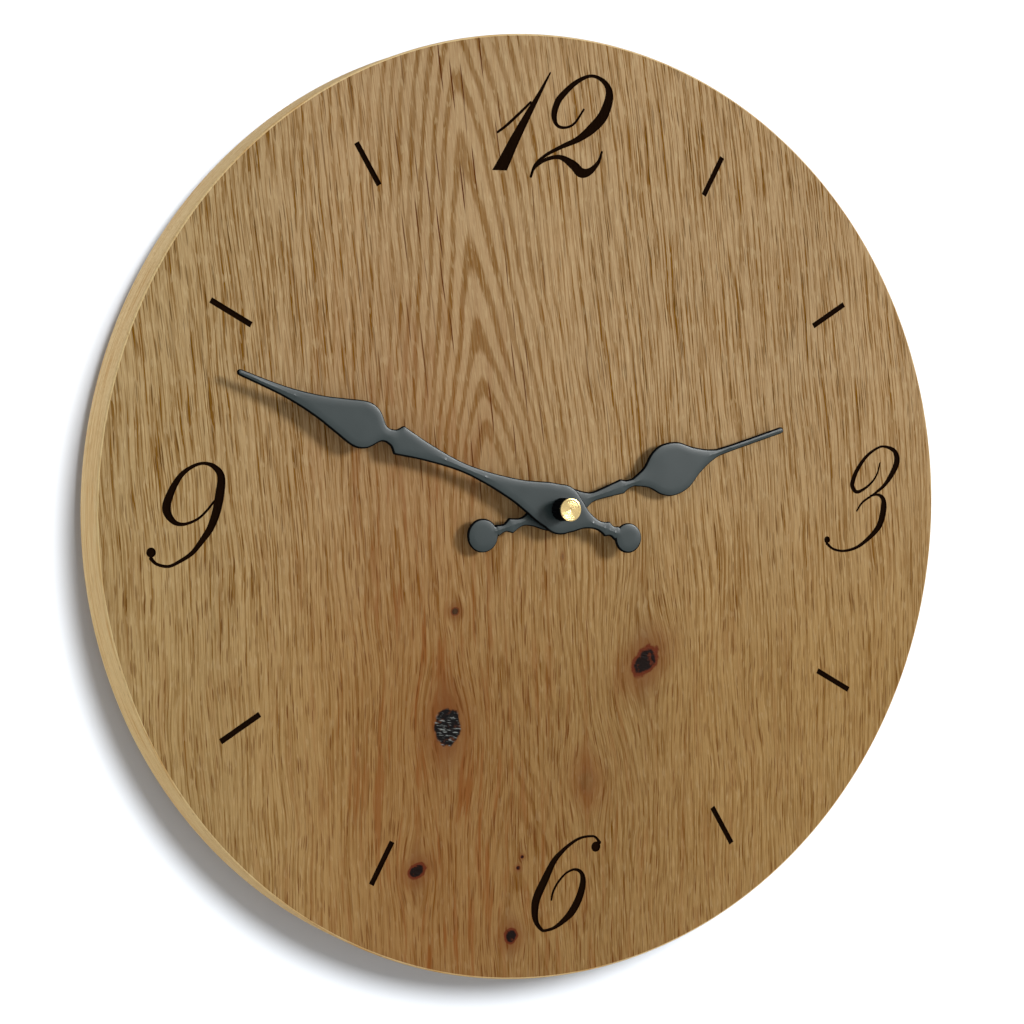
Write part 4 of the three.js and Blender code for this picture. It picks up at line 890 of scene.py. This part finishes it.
def build_dial(sizes):
    """The oak board: a turned blank with a rounded arris, from which the pocket for the movement,
    the burnt bars and the numerals are carved."""
    low, high = extent("dial_disc")
    radius, back, front = high[0], low[1], high[1]
    arris = sizes.arris / MM
    t = np.linspace(0, math.pi / 2, 6)
    behind = np.column_stack([radius - arris + arris * np.sin(t), back + arris - arris * np.cos(t)])
    before = np.column_stack([radius - arris + arris * np.cos(t), front - arris + arris * np.sin(t)])
    inner = radius - 4.0
    profile = np.vstack([[[inner, back]], behind, before, [[inner, front]]])
    count, segments = len(profile), 288
    angles = np.linspace(0, 2 * math.pi, segments, endpoint=False)
    points = round_the_axis(profile[:, :1], profile[:, 1:], angles[None])
    rim = net(count, segments)
    faces = rim + [list(range(segments)), list(range((count - 1) * segments, count * segments))]
    marks = np.zeros(len(faces), int)
    heights = np.repeat((profile[1:, 1] + profile[:-1, 1]) / 2, segments)
    # The rim and both arrises, except their outermost strips, take the pale rim finish. On the front arris it
    # is a painted highlight line.
    marks[: len(rim)] = (heights < front - arris * 0.1) & (heights > back + arris * 0.1)
    piece = made_mesh("oak_dial", points, faces, use("oak_face", "oak_edge"), marks=marks)

    clearance, corner, nail_room, nail_margin, bore, bore_corner = 1.5, 5.0, 15.0, 2.6, 4.3, 4.299
    floor = extent("rubber_washer")[1][1]
    half = extent("rear_case")[1][0] + clearance
    top = extent("hanger_plate")[1][2] + nail_margin
    pocket = rounded_square(-half, -half, half, half, corner)
    nail_pocket = rounded_square(-nail_room, 0.0, nail_room, top, corner)
    hole = rounded_square(-bore, -bore, bore, bore, bore_corner, 10)
    cutters = [block_cutter(pocket, 0, floor, "oak_face"), block_cutter(nail_pocket, 0, floor, "oak_face"),
               block_cutter(hole, 0, front + 1, "oak_face")]
    cutters += [bar_cutter(hour, sizes) for hour in (1, 2, 4, 5, 7, 8, 10, 11)]
    cutters += [stroke_cutter(points, sizes, STROKE_FEET.get(number))
                for number, points in enumerate(STROKES)]
    t = np.linspace(0, 2 * math.pi, 24, endpoint=False)
    circle = np.column_stack([np.cos(t), np.sin(t)])
    depth = sizes.burn_depth / MM
    cutters += [closed_prism("ball", circle * (r - 0.05) + [x, z], circle * (r + 0.1) + [x, z],
                             front - depth, front + CUTTER_REACH, "burnt_oak") for x, z, r in STROKE_BALLS]
    carve(piece, cutters)
    placed(piece, "clock_body", "oak", "dial_disc")


def build_bumpers():
    """Rubber pads with a rounded face and a shallow dish in it."""
    dish, edge = 0.25, 0.4
    for side in ("left", "right"):
        low, high = extent(f"wall_bumper_{side}")
        radius, top = (high[0] - low[0]) / 2, high[1]
        profile = softened([[0, dish], [radius * 0.5, dish], [radius * 0.56, 0], [radius * 0.8, 0],
                            [radius, 1.0], [radius, top - edge], [radius - 0.3, top], [0, top]], 0.6)
        centre = ((low[0] + high[0]) / 2, (low[2] + high[2]) / 2)
        piece = turned(f"bumper_{side}", profile, use("black_rubber"), centre, 64)
        placed(piece, "clock_body", "black_rubber", f"wall_bumper_{side}")


def half_width(stretches, hub, ball):
    """The hand's half width as a function of the distance from its axis, which is the largest of
    its edge curve, its hub's circle and its ball's circle, and the hand's two ends."""
    curve = np.vstack([smooth_line(stretch, 12) if len(stretch) > 2 else np.array(stretch, float)
                       for stretch in stretches])
    order = np.argsort(curve[:, 0], kind="stable")
    along, half = curve[order, 0], curve[order, 1]
    at, radius = ball

    def width(u):
        edge = np.interp(u, along, half, left=0.0, right=0.0)
        round_hub = np.sqrt(np.maximum(hub ** 2 - u ** 2, 0))
        round_ball = np.sqrt(np.maximum(radius ** 2 - (u + at) ** 2, 0))
        return np.maximum(edge, np.maximum(round_hub, round_ball))

    return width, -at - radius, along[-1]


def hand(name, stretches, hub, ball, angle, node, hole, sizes):
    """A sheet-metal hand. Its section at each distance along it is a rectangle as wide as the
    hand there, whose two front corners are quarter circles. Each step in along that quarter
    circle is the outline worn by a disc of the step's size, so the rounding is even everywhere.
    The sections crowd towards both ends by a sine."""
    width, first, last = half_width(stretches, hub, ball)
    sections, crowding = 620, 0.55
    t = np.linspace(0, 1, sections)
    u = first + (last - first) * (t - np.sin(2 * math.pi * t) / (2 * math.pi) * crowding)
    low, high = extent(node)
    back, front = low[1], high[1]
    edge = sizes.hand_round / MM

    def worn(amount):
        if amount < 1e-9:
            return u, width(u)
        reach = np.linspace(-amount, amount, 15)
        inset = width(u[:, None] + reach) - np.sqrt(np.maximum(amount ** 2 - reach ** 2, 0))
        half = np.maximum(inset.min(1), 0)
        return np.clip(u, first + amount, last - amount), half

    quarter = np.linspace(0, math.pi / 2, 5)
    brow = front - sizes.hand_crown / MM
    levels = [(0.0, back), *[(edge * (1 - math.cos(a)), brow - edge + edge * math.sin(a)) for a in quarter],
              *[(inward, front * share + brow * (1 - share)) for inward, share in CROWN]]
    shells = [(*worn(amount), height) for amount, height in levels]
    left = [np.column_stack([-half, along, np.full_like(along, height)]) for along, half, height in shells]
    right = [side * [-1, 1, 1] for side in reversed(left)]
    local = np.stack(left + right, 1)
    cos, sin = math.cos(angle), math.sin(angle)
    x = local[..., 0] * cos + local[..., 1] * sin
    z = local[..., 1] * cos - local[..., 0] * sin
    points = np.stack([x, -local[..., 2], z], -1).reshape(-1, 3) * MM
    columns = local.shape[1]
    faces = net(len(u), columns)
    marks = np.zeros((len(u) - 1, columns), int)
    # The side walls and the rounded front edges on both sides take the near-black finish, which paints the
    # shade on the hands' sides.
    rounded = len(levels) - len(CROWN) - 1
    marks[:, :rounded] = marks[:, -rounded:] = 1
    piece = made_mesh(name, points, faces, use("hand_lacquer", "hand_edge"), 40.0, marks.ravel())
    bore = turned("bore", [[0, back - 1], [hole, back - 1], [hole, front + 1], [0, front + 1]],
                  use("hand_edge"), segments=64)
    carve(piece, [bore])
    return piece


def build_hands(sizes):
    """The minute hand and the hour hand, at the time that the CAD model shows."""
    for name, body, node, edge, hub, ball, bore, turn in HANDS:
        piece = hand(name, edge, hub, ball, math.radians(turn), node, bore, sizes)
        placed(piece, body, "hand_paint", node)


def build_hand_fittings():
    """The notched black bush with its turned brass cap, and the hour hand's collet."""
    low, high = extent("minute_hand_bush")
    radius, back, front, bore = high[0], low[1], high[1], 1.87
    floor = back + 4.3
    profile = softened([[bore, back], [radius, back], [radius, front], [0, front], [0, floor], [bore, floor]],
                       0.12, 3, True)
    bush = grooved("notched_bush", profile, use("hand_edge"), 50.0, radius, 16, 0.28, 14)
    placed(bush, "minute_work", "hand_paint", "minute_hand_bush")

    low, high = extent("hand_cap")
    back, front, radius = low[1], high[1], high[0]
    ring, dimple = front - 0.06, front - 0.14
    profile = softened([[0, back], [radius, back], [radius, front], [radius * 0.82, front],
                        [radius * 0.78, ring], [0.5, ring], [0.3, dimple], [0, dimple]], 0.1, 3)
    cap = turned("brass_cap", profile, use("spun_brass"))
    placed(cap, "minute_work", "brass", "hand_cap")

    low, high = extent("hour_hand_collet")
    back, lip_front, hand_front = low[1], high[1], extent("hour_hand")[1][1]
    bore, neck = 2.6, 3.0
    profile = softened([[bore, back], [neck, back], [neck, hand_front], [high[0], hand_front],
                        [high[0], lip_front], [bore, lip_front]], 0.1, 3, True)
    collet = turned("brass_collet", profile, use("turned_brass"), segments=64, closed=True)
    placed(collet, "hour_work", "brass", "hour_hand_collet")


def build_bushing(sizes):
    """The threaded bushing. Its thread is a helix: the depth at each height and angle follows the
    height over the pitch, less the angle's share of a turn."""
    low, high = extent("threaded_bushing")
    back, front, bore, outer, flange = low[1], high[1], 2.58, 4.0, high[0]
    shoulder, segments, chamfer = back + 0.9, 48, 0.15
    thread_depth, lead_depth, pitch = 0.36, 0.3, sizes.thread_pitch / MM
    heights = np.linspace(shoulder, front, 150)
    angles = np.linspace(0, 2 * math.pi, segments, endpoint=False)
    phase = (heights[:, None] / pitch - angles[None] / (2 * math.pi)) % 1
    depth = thread_depth * np.clip(1.25 - np.abs(phase - 0.5) * 2.5, 0, 1)
    fade = np.clip(np.minimum(heights - shoulder - 0.5, 1.0), 0, 1)[:, None]
    lead = np.clip((front - heights) / 0.5, 0, 1)[:, None]
    thread = outer - depth * fade - lead_depth * (1 - lead)
    rim = np.array([[bore, back], [flange, back], [flange, shoulder], [outer, shoulder]])
    inside = np.array([[bore + chamfer, front], [bore, front - chamfer]])
    radii = np.vstack([np.repeat(rim[:, :1], segments, 1), thread, np.repeat(inside[:, :1], segments, 1)])
    heights = np.concatenate([rim[:, 1], heights, inside[:, 1]])[:, None]
    points = round_the_axis(radii, heights, angles[None])
    faces = net(len(radii), segments, True)
    bushing = made_mesh("brass_bushing", points, faces, use("turned_brass"), 50.0)
    placed(bushing, "clock_body", "brass", "threaded_bushing")


def build_nut():
    """The hexagon nut. Its radius is the smaller of the hexagon's, which is half the width over the
    flats by the cosine of the angle from the flat's middle, and of a cone at both ends."""
    low, high = extent("hex_nut")
    back, front, segments, bore = low[1], high[1], 144, 4.1
    flats, cone_radius, cone_growth = min(high[0], high[2]), 4.95, 1.9
    corner_first = 0.0 if high[0] > high[2] else math.pi / 6
    angles = np.linspace(0, 2 * math.pi, segments, endpoint=False)
    sixth = math.pi / 3
    facet = (angles - corner_first) % sixth - sixth / 2
    hexagon = flats / np.cos(facet)
    heights = np.concatenate([[back, back], np.linspace(back + 0.02, front - 0.02, 22), [front, front, back]])
    cone = cone_radius + cone_growth * np.minimum(heights - back, front - heights)
    radii = np.minimum(hexagon[None], cone[:, None])
    radii[[0, -2, -1]] = bore
    points = round_the_axis(radii, heights[:, None], angles[None])
    nut = made_mesh("brass_nut", points, net(len(radii), segments, True), use("turned_brass"), 28.0)
    placed(nut, "clock_body", "brass", "hex_nut")


def build_fixings(sizes):
    """The threaded bushing, its chamfered hexagon nut, and the two washers."""
    build_bushing(sizes)
    build_nut()
    for node, name, bore, edge, material, slot in (
            ("dial_washer", "brass_washer", 4.1, 0.12, "turned_brass", "brass"),
            ("rubber_washer", "sealing_washer", 4.3, 0.35, "black_rubber", "black_rubber")):
        low, high = extent(node)
        profile = softened([[bore, low[1]], [high[0], low[1]], [high[0], high[1]], [bore, high[1]]],
                           edge, 3, True)
        washer = turned(name, profile, use(material), closed=True)
        placed(washer, "clock_body", slot, node)


def sign_cutters(x, z, plus):
    """A plus or a minus as shallow bars in the case's back."""
    size, half, depth = 1.5, 0.22, 0.2
    outlines = [rectangle(x - size, z - half, x + size, z + half)]
    if plus:
        outlines.append(rectangle(x - half, z - size, x + half, z + size))
    return [block_cutter(outline, -0.5, depth, "black_plastic") for outline in outlines]


def build_case(sizes):
    """The moulded movement case in two halves with rounded edges, shallow signs by the battery bay,
    and the ribbed setting knob."""
    width = sizes.moulding_edge
    rear = softened_copy("rear_case", "case_rear", "black_plastic", width)
    low, high = extent("battery")
    inset, beside = 4.0, high[2] + 4.4
    carve(rear, sign_cutters(high[0] - inset, beside, True) + sign_cutters(low[0] + inset, beside, False))
    placed(rear, "clock_body", "black_plastic", "rear_case")
    front_half = softened_copy("front_cover", "case_cover", "black_plastic", width)
    placed(front_half, "clock_body", "black_plastic", "front_cover")

    low, high = extent("setting_knob")
    centre = ((low[0] + high[0]) / 2, (low[2] + high[2]) / 2)
    radius, back, front, bore = (high[0] - low[0]) / 2, low[1], high[1], 1.0
    dish = back + 0.45
    profile = softened([[bore, dish], [radius * 0.62, dish], [radius * 0.68, back], [radius, back],
                        [radius, front], [bore, front]], 0.25, 3, True)
    knob = grooved("ribbed_knob", profile, use("white_acetal"), 40.0, radius, 16, 0.5, 12, centre)
    placed(knob, "setting_work", "white_plastic", "setting_knob")


def build_hanger(sizes):
    """The pressed hanger plate, with rounded edges."""
    plate = softened_copy("hanger_plate", "pressed_hanger", "zinc_sheet", sizes.moulding_edge * 0.7)
    placed(plate, "clock_body", "steel", "hanger_plate")


def build_battery():
    """The cell: a film jacket that folds over both ends, a flat metal foot and a round nub. Its
    contacts are pressed strips."""
    low, high = extent("battery")
    radius = (high[2] - low[2]) / 2
    axis_out, axis_up = (low[1] + high[1]) / 2, (low[2] + high[2]) / 2
    left, right, nub = low[0], high[0], 2.75
    shoulder, foot = right - 1.0, left + 0.15
    profile = softened([[0, foot], [radius - 1.3, foot], [radius - 1.25, left], [radius - 0.35, left],
                        [radius, left + 0.4], [radius, shoulder - 0.4], [radius - 0.35, shoulder],
                        [radius - 1.6, shoulder], [radius - 1.65, shoulder - 0.2], [nub, shoulder - 0.2],
                        [nub, right - 0.25], [nub - 0.3, right], [0, right]], 0.14, 3)
    segments = 80
    t = np.linspace(0, 2 * math.pi, segments, endpoint=False)[None]
    r, along = profile[:, :1], profile[:, 1:]
    x, y, z = np.broadcast_arrays(along, -(axis_out + r * np.cos(t)), axis_up + r * np.sin(t))
    points = np.stack([x, y, z], -1).reshape(-1, 3) * MM
    middles = (profile[1:, 0] + profile[:-1, 0]) / 2
    metal = (middles < radius - 1.45) | (middles < radius - 1.2) & (profile[1:, 1] < left + 1)
    cell = made_mesh("plain_cell", points, net(len(profile), segments), use("battery_film", "battery_end"),
                     marks=np.repeat(metal.astype(int), segments))
    placed(cell, "battery", "battery_jacket", "battery")
    for side in ("positive", "negative"):
        strip = softened_copy(f"{side}_contact", f"{side}_strip", "zinc_sheet", 0.08 * MM)
        placed(strip, "clock_body", "steel", f"{side}_contact")


def build_movement():
    """Finishes for the wheels, the motor and the circuit, which keep their CAD shapes."""
    dress("white_acetal", "train_bridge", "coil_bobbin", "rotor_pinion", "step_wheel", "seconds_wheel",
          "third_wheel", "centre_wheel", "minute_wheel", "hour_wheel")
    dress("turned_brass", "minute_shaft")
    dress("motor_steel", "stator_plate", "coil_core", "quartz_crystal")
    dress("magnet", "rotor_magnet")
    dress("solder_mask", "circuit_board")
    dress("chip_resin", "control_chip")
    dress("enamelled_wire", "coil_winding")


# Stage

def stage_plane(name, corners, material):
    """A flat stage surface through four corners."""
    mesh = bpy.data.meshes.new(name)
    mesh.from_pydata(corners, [], [(0, 1, 2, 3)])
    mesh.materials.append(bpy.data.materials[material])
    plane = bpy.data.objects.new(name, mesh)
    bpy.context.scene.collection.objects.link(plane)
    return plane


def wall_material():
    """White wall that only the camera sees, and only from its front: for every other ray, and from
    behind, it is clear."""
    graph, surface = new_material("wall_paint", {"Roughness": 0.9, "Specular IOR Level": 0.0,
                                                 "Base Color": (0.60, 0.63, 0.67)})
    camera = graph.node("LightPath", {}).outputs["Is Camera Ray"]
    back = graph.node("NewGeometry", {}).outputs["Backfacing"]
    seen = Field(graph, camera) * (1.0 - Field(graph, back))
    clear = graph.node("BsdfTransparent", {}).outputs[0]
    whole = graph.node("MixShader", {0: seen, 1: clear, 2: surface.outputs[0]}).outputs[0]
    graph.tree.links.new(whole, graph.tree.nodes["Material Output"].inputs["Surface"])


def floor_material():
    """Pale floor, which is white where nothing shades it."""
    graph, surface = new_material("floor_paint", {"Roughness": 0.9, "Base Color": (0.8, 0.8, 0.8)})
    camera = Field(graph, graph.node("LightPath", {}).outputs["Is Camera Ray"])
    glow = graph.node("Emission", {"Color": (1, 1, 1), "Strength": camera * 0.3})
    lit = graph.node("AddShader", {0: surface.outputs[0], 1: glow.outputs[0]}).outputs[0]
    graph.tree.links.new(lit, graph.tree.nodes["Material Output"].inputs["Surface"])


def build_lamps(wall):
    """Soft lamps far off. One lights the wall alone, and the others all but the wall."""
    only_wall = bpy.data.collections.new("only_wall")
    only_wall.objects.link(wall)
    not_wall = bpy.data.collections.new("not_wall")
    not_wall.objects.link(wall)
    not_wall.collection_objects[0].light_linking.link_state = "EXCLUDE"
    for name, direction, strength, angle, wall_only in LAMPS:
        lamp = bpy.data.lights.new(name, "SUN")
        lamp.energy, lamp.angle = strength, math.radians(angle)
        holder = bpy.data.objects.new(name, lamp)
        back = -np.array(direction) / np.linalg.norm(direction)
        side = np.cross((0, 0, 1), back)
        side /= np.linalg.norm(side)
        holder.matrix_world = Matrix(np.column_stack([side, np.cross(back, side), back]).tolist()).to_4x4()
        holder.light_linking.receiver_collection = only_wall if wall_only else not_wall
        bpy.context.scene.collection.objects.link(holder)


def build_stage():
    """The white wall behind the clock, a pale floor, plain soft light and the camera."""
    scene = bpy.context.scene
    wall_material()
    floor_material()
    w, low, back = STAGE_REACH, FLOOR_HEIGHT, WALL_GAP
    wall = stage_plane("wall", [(-w, back, low), (w, back, low), (w, back, w), (-w, back, w)], "wall_paint")
    stage_plane("floor", [(-w, -w, low), (w, -w, low), (w, w, low), (-w, w, low)], "floor_paint")
    build_lamps(wall)

    world = bpy.data.worlds.new("studio")
    world.use_nodes = True
    scene.world = world
    graph = Graph(world.node_tree)
    ray = graph.node("LightPath", {}).outputs
    seen = Field(graph, ray["Is Camera Ray"]).above(Field(graph, ray["Is Transmission Ray"]))
    seen = seen.above(Field(graph, ray["Is Glossy Ray"]))
    background = world.node_tree.nodes["Background"]
    graph.give(background, {"Color": (1, 1, 1), "Strength": seen * (1.0 - WORLD_LIGHT) + WORLD_LIGHT})
    scene.view_settings.view_transform = "Standard"

    camera = bpy.data.cameras.new("camera")
    camera.lens, camera.sensor_width = LENS, FILM
    camera.clip_start, camera.clip_end = 0.01, 20.0
    holder = bpy.data.objects.new("camera", camera)
    pose = np.column_stack([CAMERA_RIGHT, CAMERA_UP, np.cross(CAMERA_RIGHT, CAMERA_UP)])
    holder.matrix_world = Matrix.Translation(CAMERA_PLACE) @ Matrix(pose.tolist()).to_4x4()
    scene.collection.objects.link(holder)
    scene.camera = holder


# Operators

class ClockStep:
    """What the clock's operators share."""
    bl_options = {"REGISTER", "UNDO"}


class CLOCK_OT_finishes(ClockStep, bpy.types.Operator):
    """Make the wood, metal and plastic materials"""
    bl_idname = "clock.finishes"
    bl_label = "Make Finishes"

    def execute(self, context):
        make_materials(context.scene.clock_colours)
        return {"FINISHED"}


class CLOCK_OT_dial(ClockStep, bpy.types.Operator):
    """Build the oak board with its numerals and hour bars"""
    bl_idname = "clock.dial"
    bl_label = "Build Dial"

    def execute(self, context):
        build_dial(context.scene.clock_sizes)
        return {"FINISHED"}


class CLOCK_OT_bumpers(ClockStep, bpy.types.Operator):
    """Build the two rubber pads on the board's back"""
    bl_idname = "clock.bumpers"
    bl_label = "Build Bumpers"

    def execute(self, context):
        build_bumpers()
        return {"FINISHED"}


class CLOCK_OT_hands(ClockStep, bpy.types.Operator):
    """Build the minute hand and the hour hand"""
    bl_idname = "clock.hands"
    bl_label = "Build Hands"

    def execute(self, context):
        build_hands(context.scene.clock_sizes)
        return {"FINISHED"}


class CLOCK_OT_hand_fittings(ClockStep, bpy.types.Operator):
    """Build the bush, the cap and the collet"""
    bl_idname = "clock.hand_fittings"
    bl_label = "Build Hand Fittings"

    def execute(self, context):
        build_hand_fittings()
        return {"FINISHED"}


class CLOCK_OT_fixings(ClockStep, bpy.types.Operator):
    """Build the threaded bushing, its nut and the washers"""
    bl_idname = "clock.fixings"
    bl_label = "Build Fixings"

    def execute(self, context):
        build_fixings(context.scene.clock_sizes)
        return {"FINISHED"}


class CLOCK_OT_case(ClockStep, bpy.types.Operator):
    """Build the movement's case and its setting knob"""
    bl_idname = "clock.case"
    bl_label = "Build Case"

    def execute(self, context):
        build_case(context.scene.clock_sizes)
        return {"FINISHED"}


class CLOCK_OT_hanger(ClockStep, bpy.types.Operator):
    """Build the pressed hanger plate"""
    bl_idname = "clock.hanger"
    bl_label = "Build Hanger"

    def execute(self, context):
        build_hanger(context.scene.clock_sizes)
        return {"FINISHED"}


class CLOCK_OT_battery(ClockStep, bpy.types.Operator):
    """Build the battery and its contacts"""
    bl_idname = "clock.battery"
    bl_label = "Build Battery"

    def execute(self, context):
        build_battery()
        return {"FINISHED"}


class CLOCK_OT_movement(ClockStep, bpy.types.Operator):
    """Give the wheels, the motor and the circuit their finishes"""
    bl_idname = "clock.movement"
    bl_label = "Finish Movement"

    def execute(self, context):
        build_movement()
        return {"FINISHED"}


class CLOCK_OT_stage(ClockStep, bpy.types.Operator):
    """Build the wall, the floor, the lights and the camera"""
    bl_idname = "clock.stage"
    bl_label = "Build Stage"

    def execute(self, context):
        build_stage()
        return {"FINISHED"}


STEPS = [
    CLOCK_OT_finishes, CLOCK_OT_dial, CLOCK_OT_bumpers, CLOCK_OT_hands, CLOCK_OT_hand_fittings,
    CLOCK_OT_fixings, CLOCK_OT_case, CLOCK_OT_hanger, CLOCK_OT_battery, CLOCK_OT_movement,
    CLOCK_OT_stage,
]


class CLOCK_PT_panel(bpy.types.Panel):
    """Lists the clock's building steps and its sizes and colours."""
    bl_idname = "CLOCK_PT_panel"
    bl_label = "Oak Wall Clock"
    bl_space_type = "VIEW_3D"
    bl_region_type = "UI"
    bl_category = "Clock"

    def draw(self, context):
        for step in STEPS:
            self.layout.operator(step.bl_idname)
        for group in (context.scene.clock_sizes, context.scene.clock_colours):
            for name in type(group).__annotations__:
                self.layout.prop(group, name)


CLASSES = [ClockSizes, ClockColours, *STEPS, CLOCK_PT_panel]


def register():
    """Registers the classes and gives the scene the clock's sizes and colours."""
    for item in CLASSES:
        bpy.utils.register_class(item)
    bpy.types.Scene.clock_sizes = PointerProperty(type=ClockSizes)
    bpy.types.Scene.clock_colours = PointerProperty(type=ClockColours)


def unregister():
    """Undoes register."""
    del bpy.types.Scene.clock_colours, bpy.types.Scene.clock_sizes
    for item in reversed(CLASSES):
        bpy.utils.unregister_class(item)


def main():
    """Registers the add-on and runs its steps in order."""
    register()
    for step in STEPS:
        getattr(bpy.ops.clock, step.bl_idname.split(".")[1])()


if __name__ == "__main__":
    main()
